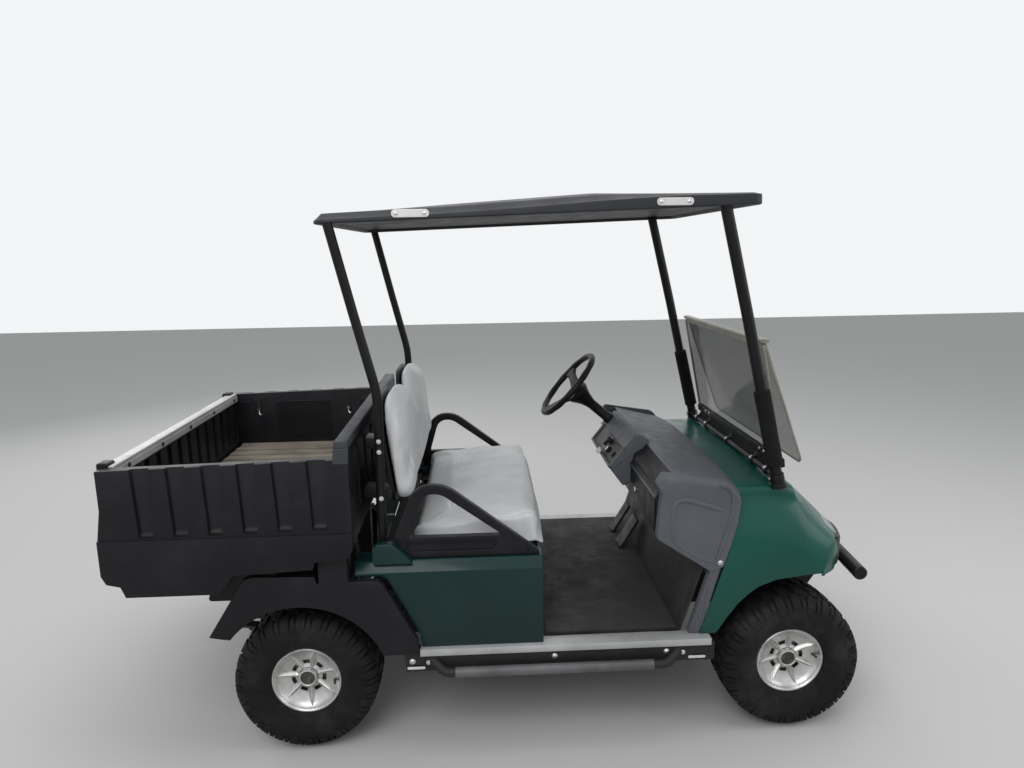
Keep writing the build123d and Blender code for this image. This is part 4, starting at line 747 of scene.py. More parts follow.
def curve_through(points, count=10):
    """Points of a smooth line through the given ones."""
    points = [np.array(p, float) for p in points]
    padded = [2 * points[0] - points[1], *points, 2 * points[-1] - points[-2]]
    line = []
    for p0, p1, p2, p3 in zip(padded, padded[1:], padded[2:], padded[3:]):
        for t in np.linspace(0, 1, count, endpoint=False):
            line.append(0.5 * (2 * p1 + (p2 - p0) * t + (2 * p0 - 5 * p1 + 4 * p2 - p3) * t * t
                               + (3 * p1 - p0 - 3 * p2 + p3) * t ** 3))
    line.append(points[-1])
    return line


def sew(piece, lines, across, up, width, depth):
    """Presses sewn channels into a cushion: lines lie in the plane of the two axes across, and only
    faces towards up are pressed."""
    points, normals = coordinates(piece), point_normals(piece)
    flat = np.stack([points @ np.array(across[0]), points @ np.array(across[1])], axis=1)
    facing = np.clip((normals @ np.array(up) - 0.35) / 0.3, 0, 1)
    for line, share in lines:
        gap = near_line(flat, line)
        points = points - normals * (np.exp(-(gap / width) ** 2) * depth * share * facing)[:, None]
    place_points(piece, points)


BACK_LEAN = math.radians(12)
BACK_UP = (-math.sin(BACK_LEAN), 0, math.cos(BACK_LEAN))
BACK_OUT = (math.cos(BACK_LEAN), 0, math.sin(BACK_LEAN))
BACK_FOOT = (0.430, 0.868)
SAGGED_LEAN = math.radians(7)
SAGGED_FOOT = (0.385, 0.826)
SAGGED_STRETCH = 1.10
SEAT_FOOT_Z = 0.667
CUSHION_GRID = 0.008
CUSHION_DRAWN_IN = 0.006
PUFF_LIMIT = 0.016


def settled(points):
    """Points of the backrest brought to its sagged place: steeper, lower and a little taller."""
    points = np.array(points)
    foot = np.array(at(BACK_FOOT[0], 0, BACK_FOOT[1]))
    rise = (points - foot) @ np.array(BACK_UP)
    depth = (points - foot) @ np.array(BACK_OUT)
    lean = SAGGED_LEAN
    new_foot = np.array(at(SAGGED_FOOT[0], 0, SAGGED_FOOT[1]))
    placed = (new_foot + np.outer(rise * SAGGED_STRETCH, (-math.sin(lean), 0, math.cos(lean)))
              + np.outer(depth, (math.cos(lean), 0, math.sin(lean))))
    placed[:, 1] = points[:, 1]
    return placed


def ramp(value, low, high):
    """Smooth rise from 0 to 1 between low and high."""
    share = np.clip((value - low) / (high - low), 0, 1)
    return share * share * (3 - 2 * share)


def plumped(points):
    """Points of the bench brought to their used shape: longer at both ends and higher at the front."""
    points = np.array(points)
    x, z = points[:, 0] + MID_LENGTH, points[:, 2]
    up = ramp(z, 0.672, 0.742)
    rear, front = ramp(-x, -0.480, -0.402), ramp(x, 0.730, 0.812)
    points[:, 0] += 0.016 * front - 0.046 * rear * ramp(z, 0.668, 0.694)
    skirt = 0.024 * ramp(-z, -0.712, -0.655) * ramp(x, 0.775, 0.803)
    points[:, 2] += up * (0.010 + 0.019 * ramp(x, 0.48, 0.66)) - skirt
    return points


def settle_back(bm):
    """The back shell follows the backrest."""
    for vert, place in zip(bm.verts, settled([vert.co[:] for vert in bm.verts])):
        vert.co = place


def bench_line(points):
    """Seam of the bench, through points given as station and y."""
    return [(station - MID_LENGTH, y) for station, y in curve_through(points)]


def make_seats():
    """Bench and back cushions with sewn inserts."""
    bench = node_copy("seat_bottom", "bench_cushion")
    points = coordinates(bench)
    held = np.clip((SEAT_FOOT_Z + 0.014 - points[:, 2]) / 0.01, 0, 1)
    puff(bench, held * (points[:, 0] < at(0.79, 0, 0).x))
    refine(bench)
    lines = []
    for side in SIDES:
        for x, share in ((0.494, 1.0), (0.509, 0.8)):
            arc = [(x + 0.10, side * 0.395), (x + 0.030, side * 0.378), (x + 0.004, side * 0.33),
                   (x, side * 0.26), (x + 0.004, side * 0.195), (x + 0.030, side * 0.155),
                   (x + 0.16, side * 0.185), (x + 0.24, side * 0.215)]
            lines.append((bench_line(arc), share))
        channel = [(0.53, side * 0.075), (0.64, side * 0.072), (0.76, side * 0.078)]
        lines.append((bench_line(channel), 0.8))
        edge = [(0.44, side * 0.452), (0.56, side * 0.448), (0.70, side * 0.440), (0.785, side * 0.428)]
        lines.append((bench_line(edge), 0.7))
    sew(bench, lines, ((1, 0, 0), (0, 1, 0)), (0, 0, 1), 0.0048, 0.0042)
    place_points(bench, plumped(coordinates(bench)))
    finish_cushion(bench, "seat_lid", "seat_bottom")

    rest = node_copy("seat_back", "back_cushion")
    points = coordinates(rest)
    depth = points @ np.array(BACK_OUT)
    puff(rest, np.clip((depth.min() + 0.012 - depth) / 0.008, 0, 1))
    refine(rest)
    lines = []
    foot = float(at(BACK_FOOT[0], 0, BACK_FOOT[1]) @ Vector(BACK_UP))
    for side in SIDES:
        arc = [(side * 0.395, foot + 0.05), (side * 0.405, foot + 0.15), (side * 0.375, foot + 0.245),
               (side * 0.280, foot + 0.275), (side * 0.185, foot + 0.235), (side * 0.155, foot + 0.15),
               (side * 0.165, foot + 0.05)]
        lines.append((curve_through(arc), 1.0))
    sew(rest, lines, ((0, 1, 0), BACK_UP), BACK_OUT, 0.0052, 0.0032)
    place_points(rest, settled(coordinates(rest)))
    finish_cushion(rest, "chassis", "seat_back")


def refine(piece):
    """Doubles the mesh's density."""
    finer = piece.modifiers.new("finer", "SUBSURF")
    finer.levels = finer.render_levels = 1
    bake(piece)


def finish_cushion(piece, body, node):
    """Vinyl and body of a cushion, with its CAD node hidden."""
    mesh = piece.data
    mesh.materials.clear()
    mesh.materials.append(MATERIALS["vinyl"])
    mesh.polygons.foreach_set("use_smooth", [True] * len(mesh.polygons))
    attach(piece, body)
    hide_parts(node)


# Shapes shared by the body pieces
def spline_at(table, x):
    """Smooth value at x from a table of (x, value) pairs."""
    xs = [row[0] for row in table]
    values = [np.atleast_1d(np.array(row[1:], float)) for row in table]
    if x <= xs[0]:
        return values[0]
    if x >= xs[-1]:
        return values[-1]
    k = max(i for i in range(len(xs) - 1) if xs[i] <= x)
    run = xs[k + 1] - xs[k]
    slopes = []
    for i in (k, k + 1):
        low, high = max(i - 1, 0), min(i + 1, len(xs) - 1)
        slopes.append((values[high] - values[low]) / (xs[high] - xs[low]))
    t = (x - xs[k]) / run
    return ((2 * t ** 3 - 3 * t * t + 1) * values[k] + (t ** 3 - 2 * t * t + t) * run * slopes[0]
            + (3 * t * t - 2 * t ** 3) * values[k + 1] + (t ** 3 - t * t) * run * slopes[1])


def straight_at(table, x):
    """Value at x on straight runs between (x, value) pairs."""
    return float(np.interp(x, [row[0] for row in table], [row[1] for row in table]))


def grid_faces(bm, rows, closed=False):
    """Quads between rows of points; returns the rows of vertices."""
    made = [[bm.verts.new(point) for point in row] for row in rows]
    for near, far in zip(made, made[1:]):
        count = len(near) if closed else len(near) - 1
        for k in range(count):
            n = (k + 1) % len(near)
            corners = list(dict.fromkeys([near[k], near[n], far[n], far[k]]))
            if len(corners) > 2:
                bm.faces.new(corners)
    return made


def loft(bm, rows, closed=True):
    """Closed bar or plate: quads between the rows and a face at each end."""
    made = grid_faces(bm, rows, closed)
    bm.faces.new(made[0])
    bm.faces.new(list(reversed(made[-1])))


def extrude(bm, profile, stations_y):
    """Bar of one side profile across the vehicle: profile is (station, z) points."""
    loft(bm, [[at(x, y, z) for x, z in profile] for y in stations_y])


def solid_sheet(name, bm, thickness, iterations):
    """Sheet of the given thickness grown inwards, smoothed inside its free border."""
    bmesh.ops.remove_doubles(bm, verts=bm.verts, dist=8e-4)
    bmesh.ops.dissolve_degenerate(bm, dist=1e-4, edges=bm.edges)
    bmesh.ops.recalc_face_normals(bm, faces=bm.faces)
    bm.verts.index_update()
    inner = [v.index for v in bm.verts if not v.is_boundary]
    piece = new_piece(name, mesh_from(name, bm))
    free = piece.vertex_groups.new(name="free")
    free.add(inner, 1.0, "REPLACE")
    calm = piece.modifiers.new("calm", "SMOOTH")
    calm.factor = 0.5
    calm.iterations = iterations
    calm.vertex_group = "free"
    wall = piece.modifiers.new("wall", "SOLIDIFY")
    wall.thickness = thickness
    wall.offset = -1
    bake(piece)
    return piece


def arc_point(centre, start, end, turn, t):
    """Point at share t of the arc about a centre that turns from start to end."""
    return centre + (start * math.sin((1 - t) * turn) + end * math.sin(t * turn)) / math.sin(turn)


def round_corners(points, radii, step=0.006):
    """Closed outline with rounded corners, as dense points."""
    count = len(points)
    spots = []
    for i in range(count):
        here = np.array(points[i], float)
        before = np.array(points[i - 1], float)
        after = np.array(points[(i + 1) % count], float)
        arrive = (here - before) / np.linalg.norm(here - before)
        leave = (after - here) / np.linalg.norm(after - here)
        turn = math.acos(max(-1.0, min(1.0, float(arrive @ leave))))
        radius = radii[i] if isinstance(radii, (list, tuple)) else radii
        if radius < 1e-5 or turn < 1e-3:
            spots.append(here)
            continue
        reach = min(radius * math.tan(turn / 2), 0.49 * np.linalg.norm(here - before),
                    0.49 * np.linalg.norm(after - here))
        radius = reach / math.tan(turn / 2)
        inward = (leave - arrive) / np.linalg.norm(leave - arrive)
        centre = here + inward * radius / math.cos(turn / 2)
        start, end = here - arrive * reach - centre, here + leave * reach - centre
        parts = max(2, int(math.ceil(turn * radius / step)))
        for t in np.linspace(0, 1, parts + 1):
            spots.append(arc_point(centre, start, end, turn, t))
    return spots


def inset_outline(points, distances):
    """Closed outline moved inwards, each point by its own distance."""
    points = np.array(points)
    area = 0.5 * np.sum(points[:, 0] * np.roll(points[:, 1], -1) - np.roll(points[:, 0], -1) * points[:, 1])
    sign = 1.0 if area > 0 else -1.0
    arrive = points - np.roll(points, 1, axis=0)
    leave = np.roll(points, -1, axis=0) - points
    arrive /= np.maximum(np.linalg.norm(arrive, axis=1, keepdims=True), 1e-12)
    leave /= np.maximum(np.linalg.norm(leave, axis=1, keepdims=True), 1e-12)
    first = np.stack([-arrive[:, 1], arrive[:, 0]], axis=1) * sign
    second = np.stack([-leave[:, 1], leave[:, 0]], axis=1) * sign
    middle = first + second
    middle /= np.maximum(np.linalg.norm(middle, axis=1, keepdims=True), 1e-12)
    spread_out = np.clip(np.sum(middle * first, axis=1), 0.4, 1.0)
    return points + middle * (np.array(distances) / spread_out)[:, None]


def add_panel(bm, outline, place, thickness, rounding, steps=4, both_faces=False):
    """Plate with rounded rims: outline in two axes, place(u, v, w) gives the point at depth w."""
    rounding = np.full(len(outline), rounding) if np.isscalar(rounding) else np.array(rounding)
    loops = []
    for angle in np.linspace(0, math.pi / 2, steps + 1):
        loops.append((inset_outline(outline, rounding * (1 - math.cos(angle))),
                      -rounding * (1 - math.sin(angle))))
    loops.append((inset_outline(outline, rounding + 0.0012), 0 * rounding))
    back = rounding if both_faces else 0 * rounding + 0.0008
    loops_back = []
    for angle in np.linspace(0, math.pi / 2, (steps if both_faces else 1) + 1):
        loops_back.append((inset_outline(outline, back * (1 - math.cos(angle))),
                           -thickness + back * (1 - math.sin(angle))))
    loops_back.append((inset_outline(outline, back + 0.0012), 0 * rounding - thickness))
    rows = [[place(u, v, w) for (u, v), w in zip(loop, depth)] for loop, depth in loops_back[::-1] + loops]
    loft(bm, rows)


def oblong(u_low, v_low, u_high, v_high):
    """Corners of an upright rectangle."""
    return [(u_low, v_low), (u_high, v_low), (u_high, v_high), (u_low, v_high)]


def add_plate(bm, corners, radii, step, place, thickness, rounding, steps=4, both_faces=False):
    """Plate with rounded corners and rims."""
    outline = round_corners(corners, radii, step)
    add_panel(bm, outline, place, thickness, rounding, steps, both_faces)


def side_place(side, out):
    """Placer for plates that stand upright along the sides: u is the station, v the height."""
    return lambda u, v, w: at(u, side * (out + w), v)


def ribbon(bm, line, place, half, height, sink=0.001):
    """Low rounded rib along a line of the panel, its ends tapered."""
    line = np.array(line)
    along = np.gradient(line, axis=0)
    along /= np.maximum(np.linalg.norm(along, axis=1, keepdims=True), 1e-12)
    across = np.stack([-along[:, 1], along[:, 0]], axis=1)
    rows = []
    last = len(line) - 1
    for k, (spot, side) in enumerate(zip(line, across)):
        taper = min(1.0, (min(k, last - k) + 0.35) / 2.5)
        row = []
        for share, lift in ((-1.0, -sink), (-0.62, height * 0.72), (0.0, height), (0.62, height * 0.72),
                            (1.0, -sink)):
            u, v = spot + side * share * half * (0.5 + 0.5 * taper)
            row.append(place(u, v, lift * taper if lift > 0 else lift))
        rows.append(row)
    loft(bm, rows, closed=False)


BEND_PARTS = 14


def bent_route(points, bends):
    """Dense points along straight runs with rounded bends, in stations."""
    places = [Vector(points[0])]
    for before, corner, after, radius in zip(points, points[1:], points[2:], bends):
        before, corner, after = Vector(before), Vector(corner), Vector(after)
        arrive, leave = (corner - before).normalized(), (after - corner).normalized()
        turn = arrive.angle(leave)
        centre = corner + (leave - arrive).normalized() * radius / math.cos(turn / 2)
        reach = radius * math.tan(turn / 2)
        start, end = corner - arrive * reach - centre, corner + leave * reach - centre
        for k in range(BEND_PARTS + 1):
            t = k / BEND_PARTS
            places.append(arc_point(centre, start, end, turn, t))
    places.append(Vector(points[-1]))
    return [at(*place) for place in places]


def add_tube(bm, route, radius, segments=20):
    """Round bar along dense points with closed, slightly rounded ends."""
    route = [Vector(p) for p in route]
    ends = [(route[1] - route[0]).normalized(), (route[-1] - route[-2]).normalized()]
    full = [route[0]] + [route[0] + ends[0] * radius * 0.12] + route[1:-1] \
        + [route[-1] - ends[1] * radius * 0.12] + [route[-1]]
    sizes = [0.86] + [1.0] * (len(full) - 2) + [0.86]
    rows = []
    side = None
    for k, spot in enumerate(full):
        ahead = (full[min(k + 1, len(full) - 1)] - full[max(k - 1, 0)]).normalized()
        if side is None:
            side = ahead.orthogonal().normalized()
        side = (side - ahead * side.dot(ahead)).normalized()
        over = ahead.cross(side)
        r = radius * sizes[k]
        rows.append([spot + side * r * math.cos(2 * math.pi * i / segments)
                     + over * r * math.sin(2 * math.pi * i / segments) for i in range(segments)])
    loft(bm, rows)


# Front cowl
COWL_SEAM = [(0.366, 1.3423), (0.669, 1.4373), (0.763, 1.4603), (0.857, 1.4693), (0.890, 1.4530),
             (0.921, 1.4285)]
COWL_ARCH = [(1.340, 0.3645), (1.396, 0.3650), (1.405, 0.376), (1.430, 0.415), (1.470, 0.470),
             (1.505, 0.504), (1.540, 0.530), (1.600, 0.553), (1.700, 0.565), (1.800, 0.568), (1.960, 0.562)]


def nose_line(y):
    """Station of the nose at a distance y from the middle: nearly flat, turned back at the corners."""
    corner = max(0.0, (abs(y) - 0.495) / 0.06)
    return 1.945 - 0.6257 * abs(y) ** 2.444 - 0.034 * corner * corner


# Half sections of the cowl: station, then (y, z) of the wall's foot, waist, bulge, shoulder, crease, deck
# edge, deck corner, deck and crown
COWL_TABLE = [
    (1.342, 0.561, 0.640, 0.557, 0.700, 0.549, 0.755, 0.535, 0.808,
     0.519, 0.834, 0.508, 0.831, 0.488, 0.831, 0.440, 0.833, 0.0, 0.843),
    (1.470, 0.561, 0.640, 0.556, 0.700, 0.545, 0.752, 0.526, 0.800,
     0.508, 0.824, 0.503, 0.826, 0.488, 0.828, 0.445, 0.829, 0.0, 0.840),
    (1.600, 0.561, 0.630, 0.555, 0.692, 0.541, 0.745, 0.517, 0.793,
     0.500, 0.818, 0.498, 0.822, 0.484, 0.825, 0.448, 0.827, 0.0, 0.836),
    (1.690, 0.560, 0.615, 0.552, 0.672, 0.533, 0.727, 0.507, 0.776,
     0.490, 0.798, 0.484, 0.804, 0.467, 0.810, 0.430, 0.816, 0.0, 0.826),
    (1.735, 0.558, 0.605, 0.548, 0.658, 0.525, 0.708, 0.492, 0.752,
     0.464, 0.774, 0.447, 0.784, 0.422, 0.791, 0.380, 0.799, 0.0, 0.812),
    (1.800, 0.550, 0.595, 0.540, 0.640, 0.512, 0.680, 0.470, 0.706,
     0.430, 0.714, 0.400, 0.723, 0.360, 0.734, 0.310, 0.745, 0.0, 0.770),
    (1.870, 0.540, 0.585, 0.525, 0.615, 0.490, 0.636, 0.440, 0.650,
     0.400, 0.658, 0.360, 0.666, 0.320, 0.674, 0.270, 0.684, 0.0, 0.706),
    (1.945, 0.530, 0.572, 0.510, 0.585, 0.470, 0.592, 0.420, 0.596,
     0.380, 0.599, 0.340, 0.601, 0.300, 0.603, 0.250, 0.604, 0.0, 0.606),
]
# Height of the raised deck over the under form, at the last four points of the half section
DECK_LIFT = (0.030, 0.040, 0.042, 0.044)
DECK_END = (1.678, 1.694)
SECTION_ROWS = 44


def cowl_section(station, share):
    """Point (y, z) of the half section at a station; share runs from the wall's foot to the crown."""
    row = spline_at(COWL_TABLE, station)
    foot = straight_at(COWL_ARCH, station)
    places = np.array([(row[0], foot), *[(row[2 * k], row[2 * k + 1]) for k in range(9)]])
    run = min(1.0, max(0.0, (DECK_END[1] - station) / (DECK_END[1] - DECK_END[0])))
    places[-4:, 1] += np.array(DECK_LIFT) * run * run * (3 - 2 * run)
    ends = [0, 0.20, 0.28, 0.36, 0.44, 0.50, 0.57, 0.63, 0.69, 1.0]
    curve = list(zip(ends, places[:, 0], places[:, 1]))
    y, z = spline_at(curve, share)
    return y, z


def cowl_point(share, column):
    """Point of the cowl's skin: share round the half section, column from the seam to the nose."""
    x = 1.6
    for _ in range(25):
        y, z = cowl_section(x, share)
        seam = straight_at(COWL_SEAM, z)
        front = nose_line(y)
        x = seam + column * (front - seam)
    y, z = cowl_section(x, share)
    return x, y, z


def make_cowl():
    """Painted cowl: deck, shoulder crease, bulged arches and sloped nose in one skin."""
    shares = list(np.linspace(0, 1, SECTION_ROWS))
    columns = [*np.linspace(0, 0.36, 20), *np.linspace(0.36, 0.56, 38)[1:], *np.linspace(0.56, 1, 26)[1:]]
    quarter = []
    for share in shares:
        row = [cowl_point(share, column) for column in columns]
        x, y, z = row[-1]
        foot = 0.560
        for k in range(1, 9):
            t = k / 8
            drop = max(0.0, z - foot)
            swell = 0.007 * math.sin(math.pi * min(1, t * 1.2)) * min(1, drop / 0.03) if t < 0.83 else 0.0
            row.append((min(x + swell, 1.944), y, z - drop * t))
        quarter.append(row)
    bm = bmesh.new()
    near = [[at(x, -y, z) for x, y, z in row] for row in quarter]
    far = [[at(x, y, z) for x, y, z in row] for row in reversed(quarter[:-1])]
    grid_faces(bm, near + far)
    cowl = solid_sheet("cowl_skin", bm, 0.006, 7)
    cowl.data.materials.append(MATERIALS["green_paint"])
    shade(cowl.data, 50)
    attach(cowl, "chassis")
    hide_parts("front_cowl")
    return cowl


def make_nose_guard():
    """Black rubbing strip round the nose under the hood's tip."""
    tips = [cowl_point(share, 1.0) for share in np.linspace(0.3, 1, 60)]
    heights = sorted((y, z) for _, y, z in tips)
    bm = bmesh.new()
    rows = []
    for y in np.linspace(-0.485, 0.485, 71):
        top = float(np.interp(abs(y), [h[0] for h in heights], [h[1] for h in heights])) + 0.002
        skin = nose_line(y)
        fade = math.sqrt(max(0.0, min(1.0, (0.486 - abs(y)) / 0.03)))
        out = 0.014 * fade
        rows.append([at(skin - 0.004, y, top), at(skin + out * 0.7, y, top - 0.001),
                     at(skin + out, y, top - 0.010), at(skin + out, y, 0.590),
                     at(skin + out * 0.8, y, 0.563), at(skin - 0.004, y, 0.555)])
    loft(bm, rows)
    finish_mesh("nose_guard", bm, "black_moulding", "chassis", 40, "black_moulding")


# Grey cheeks and the top of the dash
CHEEK_OUT = 0.561
CHEEK = [(1.183, 0.904), (1.203, 0.938), (1.300, 0.922), (1.426, 0.902), (1.470, 0.850), (1.461, 0.763),
         (1.437, 0.669), (1.417, 0.604), (1.373, 0.588), (1.187, 0.712), (1.199, 0.866)]
CHEEK_RADII = [0.006, 0.014, 0.080, 0.040, 0.050, 0.060, 0.060, 0.010, 0.008, 0.014, 0.010]


def make_cheeks():
    """Grey side cheeks with an embossed panel, an edge band and the deck between them."""
    bm = bmesh.new()
    outline = round_corners(CHEEK, CHEEK_RADII, 0.008)
    dense, roundings = straight_runs(outline), []
    for u, v in dense:
        roll = 0.005
        if v > 0.84 and u > 1.19:
            roll = 0.005 + 0.019 * min(1.0, (v - 0.84) / 0.05) * min(1.0, (u - 1.19) / 0.02)
        roundings.append(roll)
    for side in SIDES:
        place = side_place(side, CHEEK_OUT)
        add_panel(bm, dense, place, 0.034, np.array(roundings), steps=6)
        edge = [(1.247, 0.700), (1.242, 0.740), (1.240, 0.800), (1.242, 0.822), (1.254, 0.838),
                (1.274, 0.845), (1.300, 0.841), (1.350, 0.825), (1.405, 0.806)]
        ribbon(bm, curve_through(edge, 7), place, 0.0085, 0.0042)
        low_edge = [(1.247, 0.715), (1.254, 0.690), (1.300, 0.660), (1.350, 0.632), (1.370, 0.628),
                    (1.384, 0.644), (1.404, 0.720), (1.412, 0.780)]
        ribbon(bm, curve_through(low_edge, 7), place, 0.006, 0.0016)
        band = [(1.395, 0.893), (1.420, 0.884), (1.436, 0.862), (1.440, 0.835), (1.433, 0.770),
                (1.410, 0.690), (1.382, 0.604)]
        ribbon(bm, curve_through(band, 8), place, 0.0065, 0.0052)
        # Strip below the cheek
        low_strip = [(1.3725, 0.592), (1.413, 0.607), (1.342, 0.366), (1.303, 0.366)]
        outline = straight_runs(round_corners(low_strip, [0.002, 0.002, 0.002, 0.004], 0.006))
        add_panel(bm, outline, side_place(side, CHEEK_OUT - 0.0045), 0.028, 0.0025, 3)
        rim = np.array([(1.3790, 0.590), (1.312, 0.370)])
        ribbon(bm, [rim[0] + (rim[1] - rim[0]) * t for t in np.linspace(0, 1, 24)],
               side_place(side, CHEEK_OUT - 0.0045), 0.0045, 0.0035)
    deck = [(1.249, 0.912), (1.247, 0.922), (1.2495, 0.9265), (1.256, 0.927), (1.300, 0.9195),
            (1.360, 0.9105), (1.420, 0.9010), (1.450, 0.8950), (1.4665, 0.8890), (1.4690, 0.8800),
            (1.440, 0.8880), (1.300, 0.9120), (1.256, 0.9150)]
    rows = []
    for y in np.linspace(-0.542, 0.542, 33):
        fall = abs(y / 0.542) ** 3
        rows.append([at(x, y, z - fall * (0.004 + 0.020 * (x - 1.249) / 0.22)) for x, z in deck])
    loft(bm, rows)
    finish_mesh("dash_cheeks", bm, "grey_moulding", "chassis", 42, "grey_moulding", "dash_cowl")


def straight_runs(outline, reach=0.012):
    """Closed outline with its long straight runs split up."""
    dense = []
    for k, spot in enumerate(outline):
        following = outline[(k + 1) % len(outline)]
        parts = max(1, int(np.linalg.norm(np.array(following) - spot) / reach))
        dense += [spot + (following - spot) * i / parts for i in range(parts)]
    return dense


# Control pod
POD_LOW = (1.100, 0.830)
POD_ALONG = (0.619, 0.785)
POD_OUT = (-0.785, 0.619)
POD_SPAN = (-0.130, 0.305)


def pod_place(u, y, w):
    """Point on the pod's sloped face: u up the slope, y across, w out of it."""
    return at(POD_LOW[0] + POD_ALONG[0] * u + POD_OUT[0] * w, y,
              POD_LOW[1] + POD_ALONG[1] * u + POD_OUT[1] * w)


def make_pod():
    """Control pod with a raised border round a sunken black face, its key switch and knobs."""
    sink = 0.010
    outline = [(POD_LOW[0] - POD_OUT[0] * sink, POD_LOW[1] - POD_OUT[1] * sink),
               (1.204 - POD_OUT[0] * sink, 0.962 - POD_OUT[1] * sink), (1.222, 0.958), (1.262, 0.9300),
               (1.255, 0.9150), (1.205, 0.880), (1.1917, 0.842), (1.1917, 0.770), (1.160, 0.752)]
    bm = bmesh.new()
    middle = (POD_SPAN[0] + POD_SPAN[1]) / 2
    half = (POD_SPAN[1] - POD_SPAN[0]) / 2
    add_plate(bm, outline, [0.004, 0.006, 0.008, 0.003, 0.003, 0.003, 0.003, 0.010, 0.012], 0.004,
              lambda u, v, w: at(u, middle - half - w, v), 2 * half, 0.006, 4, both_faces=True)
    # Raised border in four bars
    for u_low, u_high, y_low, y_high in ((0.0, 0.011, *POD_SPAN), (0.094, 0.166, *POD_SPAN),
                                         (0.0, 0.094, POD_SPAN[0], POD_SPAN[0] + 0.013),
                                         (0.0, 0.094, POD_SPAN[1] - 0.013, POD_SPAN[1])):
        add_plate(bm, oblong(u_low, y_low, u_high, y_high), 0.004, 0.003, pod_place, 0.014, 0.0025, 3)
    finish_mesh("switch_pod", bm, "grey_moulding", "chassis", 40, "grey_moulding", "control_pod")

    bm = bmesh.new()
    add_plate(bm, oblong(0.009, POD_SPAN[0] + 0.010, 0.096, POD_SPAN[1] - 0.010), 0.006, 0.003,
              lambda u, v, w: pod_place(u, v, w - 0.0075), 0.004, 0.001, 2)
    add_plate(bm, oblong(0.018, POD_SPAN[0] + 0.022, 0.088, 0.180), 0.006, 0.003,
              lambda u, v, w: pod_place(u, v, w - 0.0055), 0.004, 0.0012, 2)
    normal = Vector((POD_OUT[0], 0, POD_OUT[1]))
    for u, y, radius, height in ((0.042, 0.022, 0.0125, 0.010), (0.070, 0.060, 0.011, 0.016),
                                 (0.046, 0.110, 0.009, 0.008), (0.046, -0.060, 0.010, 0.006)):
        add_revolved(bm, pod_place(u, y, -0.006), normal,
                     [(0, 0), (radius * 1.35, 0), (radius * 1.35, 0.0025), (radius, 0.0035),
                      (radius, height), (radius * 0.8, height + 0.0015), (0, height + 0.0015)], 28)
    add_tube(bm, [pod_place(0.058, 0.060, 0.012), pod_place(0.082, 0.060, 0.014)], 0.004, 12)
    finish_mesh("switch_face", bm, "gloss_black", "chassis", 35, "black_moulding")

    bm = bmesh.new()
    key = pod_place(0.042, 0.022, 0.0045)
    add_revolved(bm, key, normal, [(0, 0), (0.0095, 0), (0.0095, 0.0022), (0.0075, 0.003), (0, 0.003)], 24)
    add_plate(bm, oblong(-0.011, -0.003, 0.011, 0.003), 0.002, 0.002,
              lambda u, v, w: pod_place(0.042 + v * 0.25, 0.022 + u, 0.0045 + 0.016 + w), 0.016, 0.0008, 2)
    add_tube(bm, [pod_place(0.036, 0.022, 0.018), pod_place(0.026, 0.030, 0.021),
                  pod_place(0.019, 0.044, 0.016)], 0.0012, 8)
    finish_mesh("key", bm, "bright", "chassis", 35, "strip")

    bm = bmesh.new()
    tag = [(0.020, 0.040), (0.021, 0.092), (0.012, 0.096), (-0.004, 0.090), (-0.003, 0.046), (0.006, 0.038)]
    add_plate(bm, tag, 0.006, 0.003, lambda u, v, w: pod_place(u, v, w + 0.0145 - 0.10 * (u - 0.008)),
              0.0035, 0.0012, 3, both_faces=True)
    finish_mesh("key_tag", bm, "tag", "chassis", 35, "vinyl")


